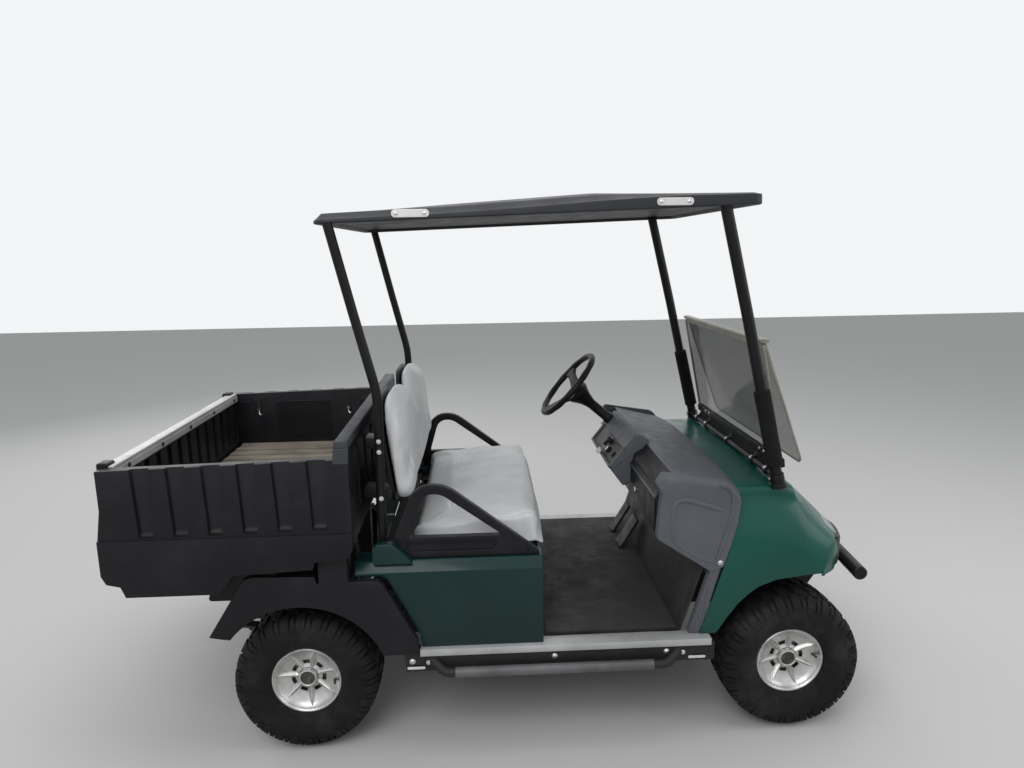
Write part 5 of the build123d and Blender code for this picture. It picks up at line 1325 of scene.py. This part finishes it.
def make_steering():
    """Steering wheel with a padded rim, three broad spokes and a dished hub; smooth column and boot."""
    tilt = math.radians(41.0)
    axis = Vector((math.cos(tilt), 0, -math.sin(tilt)))
    across = Vector((0, 1, 0))
    upward = across.cross(axis)
    centre = at(0.992, 0.270, 1.089)

    def local(x, y, z):
        return centre + across * x + upward * y + axis * z

    bm = bmesh.new()
    rows = []
    turns, sides = 96, 20
    for k in range(turns):
        a = 2 * math.pi * k / turns
        grip = 0.0127 + 0.0007 * math.cos(12 * a)
        row = []
        for i in range(sides):
            b = 2 * math.pi * i / sides
            r = 0.158 + grip * math.cos(b)
            row.append(local(r * math.cos(a), r * math.sin(a), grip * 1.02 * math.sin(b)))
        rows.append(row)
    rows.append(rows[0])
    grid_faces(bm, rows, closed=True)
    bmesh.ops.remove_doubles(bm, verts=bm.verts, dist=1e-5)
    for angle, broad in ((90, 1.25), (-18, 1.0), (198, 1.0)):
        a = math.radians(angle)
        rows = []
        for t in np.linspace(0, 1, 12):
            r = 0.020 + (0.154 - 0.020) * t
            flare = 0.018 * max(0, t - 0.7) / 0.3
            half = broad * (0.036 - 0.016 * math.sin(math.pi * min(1, t * 1.6) / 2) + flare)
            thick = 0.0095 - 0.002 * t
            depth = 0.056 * (1 - t) ** 1.25 + 0.002
            row = []
            for c in np.linspace(0, 2 * math.pi, 16, endpoint=False):
                sx = math.copysign(abs(math.cos(c)) ** 0.6, math.cos(c)) * half
                sz = math.copysign(abs(math.sin(c)) ** 0.6, math.sin(c)) * thick
                row.append(local(r * math.cos(a) - sx * math.sin(a), r * math.sin(a) + sx * math.cos(a),
                                 depth + sz))
            rows.append(row)
        loft(bm, rows)
    hub = [(0.0, 0.040), (0.028, 0.0405), (0.044, 0.043), (0.050, 0.048), (0.052, 0.056), (0.049, 0.066),
           (0.040, 0.082), (0.031, 0.102), (0.025, 0.122), (0.0235, 0.1265), (0.0, 0.1265)]
    add_revolved(bm, centre, axis, hub, 64)
    finish_mesh("padded_wheel", bm, "wheel_grip", "steering_wheel", 45, "wheel_grip", "steering_wheel")

    bm = bmesh.new()
    add_revolved(bm, centre, axis, [(0.0, 0.1286), (0.0235, 0.1286), (0.0225, 0.135), (0.0215, 0.142),
                                    (0.0215, 0.225), (0.026, 0.234), (0.026, 0.238), (0.023, 0.243),
                                    (0.027, 0.250), (0.024, 0.256), (0.028, 0.262), (0.022, 0.270),
                                    (0.018, 0.272), (0.018, 0.440), (0, 0.440)], 48)
    finish_mesh("column_jacket", bm, "post", "chassis", 40, "post", "steering_column")


# Canopy
HALF_WIDTH = 0.630
POST_Y = HALF_WIDTH - 0.142
REAR_POST_Y = 0.510
ROOF_HALF = POST_Y + 0.030
ROOF = (0.107, 1.518)
ROOF_EDGE = [(0.107, 0.032), (0.500, 0.036), (1.000, 0.052), (1.518, 0.038)]
ROOF_CROWN = [(0.107, 0.016), (0.500, 0.034), (1.000, 0.034), (1.518, 0.016)]
ROOF_BAND = [(0.107, 0.40), (0.600, 0.44), (1.000, 0.62), (1.250, 0.82), (1.518, 0.86)]


def roof_low(station):
    """Height of the canopy's lower rim."""
    return 1.754 + (station - ROOF[0]) / (ROOF[1] - ROOF[0]) * 0.042


def make_canopy():
    """Moulded canopy: sloped shoulder, upright band, turned-in lip and crowned top."""
    outline = round_corners(oblong(ROOF[0], -ROOF_HALF, ROOF[1], ROOF_HALF), 0.036, 0.005)
    outline = np.array(straight_runs(outline, 0.03))
    middle = np.array([(ROOF[0] + ROOF[1]) / 2, 0.0])
    bm = bmesh.new()

    def loop(spots, lift):
        return [at(u, v, lift(u, v)) for u, v in spots]

    def edge(u):
        return straight_at(ROOF_EDGE, u)

    def band(u):
        return edge(u) * straight_at(ROOF_BAND, u)

    def crown(u, v):
        along = 1 - ((u - middle[0]) / (ROOF[1] - middle[0])) ** 6
        across = max(0, 1 - abs(v / (ROOF_HALF - 0.02)) ** 2.0)
        return roof_low(u) + edge(u) + (straight_at(ROOF_CROWN, u) - 0.004) * across * along

    rows = []
    ceiling = inset_outline(outline, np.full(len(outline), 0.034))
    for share in (0.02, 0.3, 0.6, 0.85, 0.97):
        spots = middle + (ceiling - middle) * share
        rows.append(loop(spots, lambda u, v: roof_low(u) + 0.012))
    for inset, lift in ((0.034, 0.011), (0.030, 0.006), (0.028, 0.001), (0.024, 0.0), (0.006, 0.0),
                        (0.002, 0.0015), (0.0, 0.005)):
        spots = inset_outline(outline, np.full(len(outline), inset))
        rows.append(loop(spots, lambda u, v, lift=lift: roof_low(u) + lift))
    for inset, share in ((0.0008, 0.88), (0.0022, 1.0)):
        spots = inset_outline(outline, np.full(len(outline), inset))
        rows.append(loop(spots, lambda u, v, share=share: roof_low(u) + band(u) * share))
    for share in (0.08, 0.5, 0.88, 0.97, 1.0):
        insets = 0.0035 + share * 0.0215
        rise = share if share < 0.9 else 0.9 + (share - 0.9) * 0.9
        spots = inset_outline(outline, np.full(len(outline), insets))
        rows.append(loop(spots, lambda u, v, rise=rise: roof_low(u) + band(u) + (edge(u) - band(u)) * rise))
    top = inset_outline(outline, np.full(len(outline), 0.030))
    for share in (1.0, 0.97, 0.9, 0.8, 0.65, 0.5, 0.35, 0.2, 0.02):
        spots = middle + (top - middle) * share
        rows.append(loop(spots, crown))
    loft(bm, rows)
    finish_mesh("canopy_shell", bm, "canopy_moulding", "chassis", 30, "canopy_moulding", "canopy")

    plates, screws = bmesh.new(), bmesh.new()
    for station in (0.410, 1.232):
        for side in SIDES:
            z = roof_low(station) + 0.020
            add_plate(plates, oblong(station - 0.058, z - 0.012, station + 0.058, z + 0.012), 0.0115, 0.003,
                      side_place(side, ROOF_HALF + 0.003), 0.0027, 0.001, 2)
            for shift in (-0.044, 0.044):
                add_screw(screws, at(station + shift, side * (ROOF_HALF + 0.003), z), (0, side, 0), 0.0058)
    finish_mesh("canopy_plates", plates, "plate", "chassis", 35, "plate", "roof_plates")
    finish_mesh("canopy_screws", screws, "bright", "chassis", 35, "strip")


def mirrored(points, side):
    """Points of the left side, taken to either side."""
    return [(x, side * y, z) for x, y, z in points]


def make_tubes():
    """Round posts, foam sleeves, step bars and front bumper."""
    bm = bmesh.new()
    for side in SIDES:
        front = [(1.6205, POST_Y, 0.8620), (1.493, POST_Y, 1.422), (1.4012, POST_Y, 1.800)]
        rear = [(0.272, REAR_POST_Y, 0.6655), (0.280, REAR_POST_Y, 1.218), (0.216, REAR_POST_Y, 1.486),
                (0.1528, REAR_POST_Y, 1.762)]
        add_tube(bm, bent_route(mirrored(front, side), [0.6]), 0.019, 24)
        add_tube(bm, bent_route(mirrored(rear, side), [0.4, 0.9]), 0.0155, 24)
        # Feet
        add_revolved(bm, at(1.6195, side * (POST_Y - 0.004), 0.862), (-0.12, 0, 0.99),
                     [(0.0, -0.004), (0.030, -0.004), (0.030, 0.008), (0.024, 0.014), (0.0, 0.014)], 32)
        add_box(bm, at(0.272 - 0.030, side * REAR_POST_Y - 0.024, 0.6655),
                at(0.272 + 0.030, side * REAR_POST_Y + 0.024, 0.6715))
    finish_mesh("canopy_tubes", bm, "post", "chassis", 40, "post", "canopy_posts")

    bm = bmesh.new()
    for side in SIDES:
        add_tube(bm, bent_route(mirrored([(1.606, POST_Y, 0.936), (1.546, POST_Y, 1.194)], side), ()),
                 0.0268, 28)
    finish_mesh("foam_sleeves", bm, "foam", "chassis", 40, "foam", "strut_sleeves")

    bm, worn = bmesh.new(), bmesh.new()
    for side in SIDES:
        bar = [(0.425, 0.582, 0.326), (0.472, 0.613, 0.290), (1.220, 0.613, 0.290), (1.267, 0.582, 0.326)]
        add_tube(bm, bent_route(mirrored(bar, side), [0.045, 0.045]), 0.0152, 24)
        add_tube(worn, bent_route(mirrored([(0.505, 0.613, 0.290), (1.172, 0.613, 0.290)], side), ()),
                 0.0168, 28)
        for station in (0.425, 1.267):
            add_plate(bm, oblong(station - 0.022, 0.302, station + 0.022, 0.338), 0.006, 0.003,
                      side_place(side, 0.5958), 0.0055, 0.0015, 2)
    finish_mesh("step_bars", bm, "frame", "chassis", 40, "step", "side_steps")
    finish_mesh("step_sleeves", worn, "step", "chassis", 40, "step")

    bm = bmesh.new()
    bar = [(1.952, -0.455, 0.511), (1.998, 0.0, 0.508), (1.952, 0.455, 0.511)]
    add_tube(bm, bent_route(bar, [1.2]), 0.0248, 32)
    for side in SIDES:
        arm = [(1.7905, 0.290), (1.7905, 0.360), (1.955, 0.515), (1.990, 0.515), (1.990, 0.492),
               (1.850, 0.290)]
        add_plate(bm, arm, [0.003, 0.004, 0.010, 0.004, 0.004, 0.010], 0.004,
                  lambda u, v, w, side=side: at(u, side * (0.193 + w), v), 0.036, 0.003, 2, both_faces=True)
    finish_mesh("bumper_bar", bm, "post", "chassis", 40, "post", "front_bumper")


# Folding windscreen
SCREEN_HALF = POST_Y - 0.030


def make_windscreen():
    """Tinted panes with pale edge bands of painted highlight, foot tube with clamps, and the hinge strip.
    """
    def pane(name, foot, head, half, radii, border, node=None):
        foot, head = np.array(foot), np.array(head)
        run = head - foot
        length = float(np.linalg.norm(run))
        along = run / length
        out = np.array([along[1], -along[0]])

        def place(u, v, w):
            x, z = foot + along * u + out * w
            return at(x, v, z)

        corners = [(0, -half), (0, half), (length, half), (length, -half)]
        outline = round_corners(corners, radii, 0.004)
        bm = bmesh.new()
        add_panel(bm, outline, place, 0.005, 0.0008, 2, both_faces=True)
        finish_mesh(name, bm, "screen", "chassis", 35, "screen", node)
        # Pale band round the pane's edge: painted highlight, with dust patches
        rim_line = bmesh.new()
        outer = round_corners(corners, radii, 0.004)
        inner = inset_outline(outer, np.full(len(outer), border))
        outer = inset_outline(outer, np.full(len(outer), -0.0008))
        rows = [[place(u, v, w) for u, v in spots]
                for spots, w in ((outer, 0.0006), (outer, -0.0056), (inner, -0.0056), (inner, 0.0006),
                                 (outer, 0.0006))]
        grid_faces(rim_line, rows, closed=True)
        bmesh.ops.remove_doubles(rim_line, verts=rim_line.verts, dist=1e-5)
        finish_mesh(name + "_edge", rim_line, "pane_edge_highlight", "chassis", 35, "screen")

    pane("pane_lower", (1.6425, 0.930), (1.5605, 1.347), SCREEN_HALF, [0.004, 0.004, 0.022, 0.022], 0.011,
         "windscreen")
    pane("pane_upper", (1.7205, 0.925), (1.5695, 1.347), SCREEN_HALF - 0.010, [0.030, 0.030, 0.004, 0.004],
         0.003)

    bm, bright = bmesh.new(), bmesh.new()
    foot = bent_route([(1.617, -POST_Y + 0.01, 0.889), (1.617, POST_Y - 0.01, 0.889)], [])
    add_tube(bm, foot, 0.0125, 20)
    channel = [(1.6405, 0.914), (1.6535, 0.918), (1.6500, 0.946), (1.6440, 0.946), (1.6455, 0.932),
               (1.6385, 0.931), (1.6345, 0.946), (1.6290, 0.944), (1.6320, 0.918)]
    extrude(bm, channel, np.linspace(-SCREEN_HALF, SCREEN_HALF, 5))
    for y in (-0.400, -0.270, 0.0, 0.270, 0.400):
        add_revolved(bm, at(1.617, y - 0.014, 0.889), (0, 1, 0),
                     [(0.0, 0.0), (0.0155, 0.0), (0.0165, 0.002), (0.0165, 0.026), (0.0155, 0.028),
                      (0.0, 0.028)], 28)
        add_tube(bm, [at(1.620, y, 0.893), at(1.6345, y, 0.918)], 0.009, 12)
        add_screw(bright, at(1.606, y, 0.9005), (-0.72, 0, 0.69), 0.0052)
    for y in (-0.330, -0.290, 0.290, 0.335):
        add_screw(bright, at(1.6288, y, 0.938), (-0.98, 0, 0.2), 0.0045)
    for side in SIDES:
        # Clamp from the foot tube to the post
        add_revolved(bm, at(1.6142, side * POST_Y, 0.889), (-0.23, 0, 0.97),
                     [(0.0, -0.016), (0.0235, -0.016), (0.0245, -0.014), (0.0245, 0.014), (0.0235, 0.016),
                      (0.0, 0.016)], 32)
        add_screw(bright, at(1.590, side * (POST_Y - 0.004), 0.888), (-0.97, 0, -0.2), 0.0055, "hex")
    finish_mesh("screen_foot", bm, "post", "chassis", 40, "post", "screen_clamps")
    finish_mesh("screen_screws", bright, "bright", "chassis", 35, "strip")

    # The hinge strip shares the pale colour of the panes' painted edge highlight
    bm = bmesh.new()
    hinge = [(1.550, 1.350), (1.554, 1.3475), (1.574, 1.3475), (1.578, 1.350), (1.578, 1.358),
             (1.572, 1.3615), (1.556, 1.3615), (1.550, 1.358)]
    extrude(bm, hinge, np.linspace(-SCREEN_HALF + 0.004, SCREEN_HALF - 0.004, 5))
    finish_mesh("screen_hinge", bm, "pane_edge_highlight", "chassis", 40, "screen")


# CAD solids with their edges rounded
SHARP_ANGLE = math.radians(32)


def rounded_copy(node, name, width, material, body, extra):
    """The CAD solid of a node with softened edges, shown in its place."""
    bm = bmesh.new()
    bm.from_mesh(NODES[node].data)
    bmesh.ops.remove_doubles(bm, verts=bm.verts, dist=1e-5)
    bmesh.ops.dissolve_limit(bm, angle_limit=math.radians(1.0), verts=bm.verts, edges=bm.edges,
                             delimit={"NORMAL"})
    if extra:
        extra(bm)
    bmesh.ops.recalc_face_normals(bm, faces=bm.faces)
    sharp = [e for e in bm.edges if len(e.link_faces) == 2 and e.calc_face_angle(0) > SHARP_ANGLE]
    bmesh.ops.bevel(bm, geom=sharp, offset=width, offset_type="OFFSET", segments=2, profile=0.5,
                    affect="EDGES", clamp_overlap=True)
    bmesh.ops.triangulate(bm, faces=[f for f in bm.faces if len(f.verts) > 4])
    finish_mesh(name, bm, material, body, 28, SLOTS[node], node)


def lower_dash_top(bm):
    """Brings the dash body's top under the sloped lid panels and the deck."""
    moves = [((1.192, 0.842), (1.192, 0.842)), ((1.200, 0.900), (1.197, 0.864)),
             ((1.212, 0.912), (1.246, 0.896)), ((1.400, 0.908), (1.400, 0.880))]
    for vert in bm.verts:
        for (x, z), (new_x, new_z) in moves:
            if abs(vert.co.x + MID_LENGTH - x) < 0.0012 and abs(vert.co.z - z) < 0.0012:
                vert.co.x, vert.co.z = new_x - MID_LENGTH, new_z


# Corners of the hip loops: corner, the points before and after it, radius in the solid, radius here
LOOP_CORNERS = [
    ((0.385, 0.914), (0.314, 0.738), (0.486, 0.917), 0.034, 0.085),
    ((0.486, 0.917), (0.385, 0.914), (0.796, 0.676), 0.040, 0.120),
    ((0.314, 0.738), (0.332, 0.6653), (0.385, 0.914), 0.020, 0.045),
    ((0.410, 0.886), (0.366, 0.737), (0.472, 0.886), 0.022, 0.050),
    ((0.472, 0.886), (0.410, 0.886), (0.676, 0.737), 0.026, 0.070),
]


def widen_loop_corners(bm):
    """Swaps the small fillets of the hip loops for wide ones."""
    for corner, before, after, old, new in LOOP_CORNERS:
        corner = np.array(corner)
        ways = [(np.array(p) - corner) / np.linalg.norm(np.array(p) - corner) for p in (before, after)]
        bisector = (ways[0] + ways[1]) / np.linalg.norm(ways[0] + ways[1])
        opening = math.acos(float(ways[0] @ ways[1])) / 2
        old_centre = corner + bisector * old / math.sin(opening)
        new_centre = corner + bisector * new / math.sin(opening)
        reach = old / math.tan(opening) + 0.001
        for vert in bm.verts:
            spot = np.array((vert.co.x + MID_LENGTH, vert.co.z))
            off_arc = abs(np.linalg.norm(spot - old_centre) - old)
            if off_arc < 0.0008 and np.linalg.norm(spot - corner) < reach:
                spot = new_centre + (spot - old_centre) * new / old
                vert.co.x, vert.co.z = spot[0] - MID_LENGTH, spot[1]


FLUTE_FOOT_Z = 0.813


def flute_drop(station):
    """How far a flute's foot runs below its place in the solid."""
    return 0.004 + 0.009 * (0.0945 - station) / 0.5375


def lower_flutes(bm):
    """Runs the foot of each flute down the wall."""
    for vert in bm.verts:
        if abs(vert.co.z - FLUTE_FOOT_Z) < 0.001 and abs(vert.co.y) > 0.60:
            vert.co.z -= flute_drop(vert.co.x + MID_LENGTH)


ROUNDED = [
    # node, piece, rounding, material, body
    # The body sides wear the green paint darkened as painted shade
    ("rear_body", "body_sides", 0.003, "green_paint_shaded", "chassis"),
    ("rear_fenders", "wheel_arches", 0.004, "black_moulding", "chassis"),
    ("hip_restraints", "hip_loops", 0.006, "black_moulding", "chassis"),
    ("dash", "dash_body", 0.003, "black_moulding", "chassis"),
    ("seat_back_shell", "back_shell", 0.004, "black_moulding", "chassis"),
    ("bed_tub", "moulded_tub", 0.004, "black_moulding", "bed"),
    ("bed_front_cap", "capping_rail", 0.003, "cap_moulding", "bed"),
    ("tailgate", "ribbed_gate", 0.003, "black_moulding", "tailgate"),
    ("tailgate_rail", "gate_rail", 0.002, "strip", "tailgate"),
    ("rocker_strips", "edge_strips", 0.001, "strip", "chassis"),
    ("pedals", "pedal_pads", 0.002, "frame", "chassis"),
    ("side_sills", "sill_channels", 0.002, "frame", "chassis"),
]


def make_rounded():
    """Softened copies of the solids, each with its own change of shape where it has one."""
    for node, name, width, material, body in ROUNDED:
        extra = {"dash": lower_dash_top, "seat_back_shell": settle_back,
                 "hip_restraints": widen_loop_corners, "bed_tub": lower_flutes}.get(node)
        rounded_copy(node, name, width, material, body, extra)


# Cargo bed details
BED_FLOOR = 0.776
BED_WALL = 0.046
BED_REAR = -0.592
BED_SPAN = (-0.530, 0.150)
BOARD_EDGE = 0.574
BOARD_END = 0.578
BOARD_PITCH = 0.082
BOARD_GAP = 0.030
BOARD_LOW = 0.0015
BOARD_HIGH = 0.0085


def make_bed_floor():
    """Dirty ribbed floor sheet."""
    low, high = BED_SPAN
    profile = []
    y = -BOARD_EDGE
    while y < BOARD_EDGE:
        profile += [(y, BOARD_LOW), (y + BOARD_PITCH - BOARD_GAP, BOARD_LOW),
                    (y + BOARD_PITCH - BOARD_GAP + 0.005, BOARD_HIGH),
                    (y + BOARD_PITCH - 0.005, BOARD_HIGH)]
        y += BOARD_PITCH
    profile.append((y, BOARD_LOW))
    rows = []
    for x in (low, low + 0.006, *np.linspace(low + 0.05, high - 0.05, 12), high - 0.006, high):
        flat = 0.15 if x in (low, high) else 1.0
        rows.append([at(x, min(y, BOARD_END), BED_FLOOR + 0.0004 + z * flat) for y, z in profile])
    bm = bmesh.new()
    grid_faces(bm, rows)
    finish_mesh("bed_liner", bm, "bed_dirt", "bed", 30, "black_moulding")


GATE_HALF = HALF_WIDTH - BED_WALL - 0.0055
GATE_FACE = BED_REAR + 0.018 + 0.034


def make_gate_parts():
    """Screws and band under the gate's rail, end caps, and square drain holes at the ribs' feet painted as
    dark patches of shade.
    """
    dark, band, ends = bmesh.new(), bmesh.new(), bmesh.new()
    for y in (-0.485, -0.233, 0.020, 0.273, 0.527):
        add_screw(dark, at(GATE_FACE + 0.0036, y, 1.0015), (1, 0, 0), 0.0062)
    add_panel(band, oblong(-GATE_HALF, 0.988, GATE_HALF, 1.0105),
              lambda u, v, w: at(GATE_FACE + 0.0036 + w, u, v), 0.0034, 0.0008, 2)
    finish_mesh("gate_band", band, "strip", "tailgate", 35, "strip")
    for side in SIDES:
        low, high = sorted((side * (GATE_HALF - 0.044), side * (GATE_HALF + 0.0015)))
        block = [(-0.5918, 0.984), (-0.5918, 1.0335), (-0.5530, 1.0335), (-0.5530, 0.984)]
        add_plate(ends, block, 0.007, 0.003, lambda u, v, w: at(u, high + w, v), high - low, 0.004, 3, True)
    finish_mesh("gate_end_caps", ends, "black_moulding", "tailgate", 35, "black_moulding")
    # Drain holes as thin dark patches: painted shade for the hollow of each hole
    pitch = (2 * GATE_HALF - 0.080) / 12
    for k in range(1, 12, 2):
        y = -GATE_HALF + 0.040 + pitch * (k + 0.5)
        add_box(dark, at(GATE_FACE - 0.001, y - 0.009, 0.842), at(GATE_FACE + 0.0008, y + 0.009, 0.862))
    finish_mesh("gate_fixings", dark, "black_and_painted_shade", "tailgate", 35, "black_moulding")


FLUTE_START = -0.443
FLUTE_PITCH = 0.1075


def make_wall_parts():
    """Sloped feet of the side walls' flutes, corner caps of the front wall, and panels inside."""
    feet, caps, ribs = bmesh.new(), bmesh.new(), bmesh.new()
    wall = HALF_WIDTH - 0.007
    sunk = HALF_WIDTH - 0.022
    for side in SIDES:
        for k in range(6):
            station = FLUTE_START + FLUTE_PITCH * k
            rows = []
            for t in np.linspace(0, 1, 6):
                turn = math.pi / 2 * t
                half = 0.0185 + 0.0022 * t
                out = sunk - 0.001 + (wall - sunk + 0.0008) * (1 - math.cos(turn))
                z = 0.8365 - flute_drop(station) - 0.0225 * math.sin(turn) ** 1.2
                rows.append([at(station + run, side * deep, z) for run, deep in
                             ((-half, out), (half, out), (half, sunk - 0.003), (-half, sunk - 0.003))])
            loft(feet, rows)
        block = [(0.148, 1.022), (0.196, 1.022), (0.199, 1.072), (0.151, 1.072)]
        add_plate(caps, block, 0.005, 0.003, side_place(side, HALF_WIDTH - 0.0045), 0.006, 0.002, 3)
        for low, high in ((-0.362, -0.102), (0.030, 0.140), (-0.535, -0.480)):
            add_plate(ribs, oblong(low, 0.802, high, 0.984), 0.008, 0.004,
                      lambda u, v, w: at(u, side * (HALF_WIDTH - BED_WALL - 0.0005 - w), v), 0.0045, 0.003,
                      3)
    finish_mesh("flute_feet", feet, "black_moulding", "bed", 50, "black_moulding")
    finish_mesh("corner_caps", caps, "cap_moulding", "bed", 35, "grey_moulding")
    finish_mesh("wall_panels", ribs, "black_moulding", "bed", 40, "black_moulding")


def make_floor_groove_shade():
    """Dark lines of painted shade along the foot of each board's rib."""
    bm = bmesh.new()
    y = -BOARD_EDGE
    while y < 0.48:
        y += BOARD_PITCH
        for line in (y - 0.0315, y - 0.0010):
            add_box(bm, at(-0.526, line - 0.0016, BED_FLOOR + 0.001),
                    at(0.146, line + 0.0016, BED_FLOOR + 0.0026))
    finish_mesh("floor_groove_shade", bm, "black_and_painted_shade", "bed", 40, "black_moulding")


def make_latches():
    """Latches hanging from slots in the side walls; each slot is a thin dark patch of painted shade."""
    straps, hooks = bmesh.new(), bmesh.new()
    for side in SIDES:
        inner = side * (HALF_WIDTH - BED_WALL)
        for station in (-0.440, -0.020):
            def spot(ahead, out, z):
                return at(station + ahead, inner - side * out, z)

            # The wide thin box is the slot, a dark patch of painted shade; the narrow one is the strap
            for half, thick, low, high in ((0.022, 0.0015, 0.986, 1.006), (0.007, 0.004, 0.936, 0.992)):
                near, far = sorted((inner, inner - side * thick))
                add_box(straps, at(station - half, near, low), at(station + half, far, high))
            add_tube(hooks, [spot(0, 0.005, 0.940), spot(0, 0.007, 0.926), spot(0.006, 0.011, 0.918),
                             spot(0.014, 0.012, 0.922)], 0.0035, 12)
            add_disc(hooks, spot(0, 0.005, 0.946), (0, -side, 0), 0.007, 0.005, 20)
    finish_mesh("latch_straps", straps, "black_and_painted_shade", "bed", 35, "black_moulding", bevel=0.0004)
    finish_mesh("latch_hooks", hooks, "bright", "bed", 35, "strip")


def make_fixings():
    """Bolts and slots of the sills, cheeks and body."""
    bright, pale, dark = bmesh.new(), bmesh.new(), bmesh.new()
    sill = 0.5895
    for side in SIDES:
        for station in (0.363, 0.840, 1.220):
            add_screw(bright, at(station, side * sill, 0.322), (0, side, 0), 0.0075)
        for station in (0.375, 1.325):
            add_plate(pale, oblong(station - 0.030, 0.292, station + 0.030, 0.302), 0.0048, 0.002,
                      side_place(side, sill + 0.0008), 0.0012, 0.0004, 2)
        for station in (0.417, 1.275):
            add_screw(bright, at(station, side * 0.5958, 0.320), (0, side, 0), 0.006, "hex")
        add_screw(bright, at(1.404, side * 0.5605, 0.622), (0, side, 0), 0.0068)
        for z in (1.065, 1.030, 0.872):
            add_screw(bright, at(0.2785, side * (REAR_POST_Y + 0.0145), z), (0, side, 0), 0.0058, "hex")
        for station in (0.355, 0.760):
            add_screw(dark, at(station, side * 0.5395, 0.690), (0, side, 0), 0.0055)
    finish_mesh("body_bolts", bright, "bright", "chassis", 35, "strip")
    finish_mesh("sill_slots", pale, "plate", "chassis", 35, "plate")
    finish_mesh("loop_bolts", dark, "post", "chassis", 35, "post")


# Upright sheets behind the seat, dark sheets of painted shade for its shadow: piece, material, slot, foot,
# head and station
REAR_SHEETS = [
    ("upper_shade_sheet", "black_moulding", "black_moulding", 0.792, 0.874, 0.2570),
    ("lower_shade_sheet", "green_paint_shaded", "green_paint", 0.640, 0.800, 0.2600),
]


def make_rear_sheets():
    """Sheets that close the body behind the seat as dark sheets of painted shade, stay bars of the rear
    posts, fender flaps and seal.
    """
    bm = bmesh.new()
    add_plate(bm, oblong(-0.448, 0.2640, 0.448, 0.3285), 0.008, 0.004,
              lambda u, v, w: at(v, u, 0.6480 + w), 0.005, 0.0015, 2, True)
    finish_mesh("engine_cover", bm, "black_moulding", "chassis", 35, "black_moulding")
    # Each sheet is painted shade: black above, the shaded green below
    for name, material, slot, low, high, x in REAR_SHEETS:
        bm = bmesh.new()
        add_plate(bm, oblong(-0.478, low, 0.478, high), 0.012, 0.004, lambda u, v, w: at(x + w, u, v),
                  0.0045, 0.0018, 3, True)
        finish_mesh(name, bm, material, "chassis", 35, slot)
    bars, flaps, seal = bmesh.new(), bmesh.new(), bmesh.new()
    flap = [(-0.290, 0.560), (-0.236, 0.715), (-0.060, 0.715), (-0.060, 0.640), (-0.150, 0.632),
            (-0.215, 0.560)]
    for side in SIDES:
        add_tube(bars, [at(0.262, side * 0.494, 0.8035), at(0.285, side * 0.494, 0.8040),
                        at(0.312, side * 0.492, 0.8042)], 0.0038, 14)
        add_plate(flaps, flap, 0.010, 0.004, side_place(side, 0.583), 0.004, 0.0015, 2, True)
    finish_mesh("stay_bars", bars, "machinery", "chassis", 35, "machinery")
    finish_mesh("fender_flaps", flaps, "black_moulding", "chassis", 35, "black_moulding")
    profile = [(1.6185, 0.8900), (1.6330, 0.9225), (1.6362, 0.9210), (1.6215, 0.8885)]
    extrude(seal, profile, np.linspace(-0.405, 0.405, 3))
    finish_mesh("screen_seal", seal, "foam", "chassis", 35, "foam")


LID_SPANS = ((-0.5255, POD_SPAN[0] - 0.0005), (POD_SPAN[1] + 0.0005, 0.5255))


def make_dash_fronts():
    """Sloped lids and glove doors beside the pod, with the lids' lips and a door's lock."""
    lids, lips, lock = bmesh.new(), bmesh.new(), bmesh.new()
    slope = [(1.1885, 0.8500), (1.2475, 0.9215), (1.2515, 0.9150), (1.1960, 0.8480)]
    for low, high in LID_SPANS:
        extrude(lids, slope, (low, high))
        add_plate(lids, oblong(low + 0.012, 0.722, high - 0.012, 0.838), 0.012, 0.004,
                  lambda u, v, w: at(1.1880 - w, u, v), 0.0035, 0.0015, 3)
        for x, z, radius in ((1.1875, 0.8460, 0.0052), (1.2495, 0.9215, 0.0042)):
            add_tube(lips, [at(x, low, z), at(x, high, z)], radius, 14)
    finish_mesh("glove_lids", lids, "black_moulding", "chassis", 35, "black_moulding")
    finish_mesh("lid_lips", lips, "lip", "chassis", 40, "grey_moulding")
    face = [(0.0, 0.0), (0.0115, 0.0), (0.0115, 0.003), (0.0095, 0.0045), (0.003, 0.0045), (0.002, 0.003),
            (0.0, 0.003)]
    add_revolved(lock, at(1.1875, -0.226, 0.772), (-1, 0, 0), face, 28)
    finish_mesh("glove_lock", lock, "bright", "chassis", 35, "strip")


def make_lamps(cowl):
    """Lamp lenses that follow the cowl's nose."""
    skin = BVHTree.FromObject(cowl, bpy.context.evaluated_depsgraph_get())
    bm = bmesh.new()
    for side in SIDES:
        outline = round_corners(oblong(0.303, 0.6345, 0.427, 0.6875), 0.012, 0.004)
        outline = np.array(straight_runs(outline, 0.006))
        middle = np.array([0.365, 0.661])
        rows = []
        for share, lift in ((1.0, -0.004), (1.0, 0.001), (0.97, 0.0025), (0.8, 0.003), (0.6, 0.003),
                            (0.4, 0.003), (0.2, 0.003), (0.03, 0.003)):
            row = []
            for u, v in middle + (outline - middle) * share:
                hit = skin.ray_cast(Vector((1.6, side * u, v)), Vector((-1, 0, 0)))
                row.append(hit[0] + Vector((lift, 0, lift * 0.6)))
            rows.append(row)
        made = grid_faces(bm, rows, closed=True)
        bm.faces.new(made[-1])
    finish_mesh("lamp_lenses", bm, "lamp", "chassis", 45, "lamp", "headlamps")


make_camera()
make_studio()
dress_nodes()
make_wheels()
make_lamps(make_cowl())
make_nose_guard()
make_cheeks()
make_pod()
make_steering()
make_canopy()
make_tubes()
make_windscreen()
make_rounded()
make_bed_floor()
make_gate_parts()
make_wall_parts()
make_floor_groove_shade()
make_latches()
make_fixings()
make_dash_fronts()
make_rear_sheets()
make_seats()
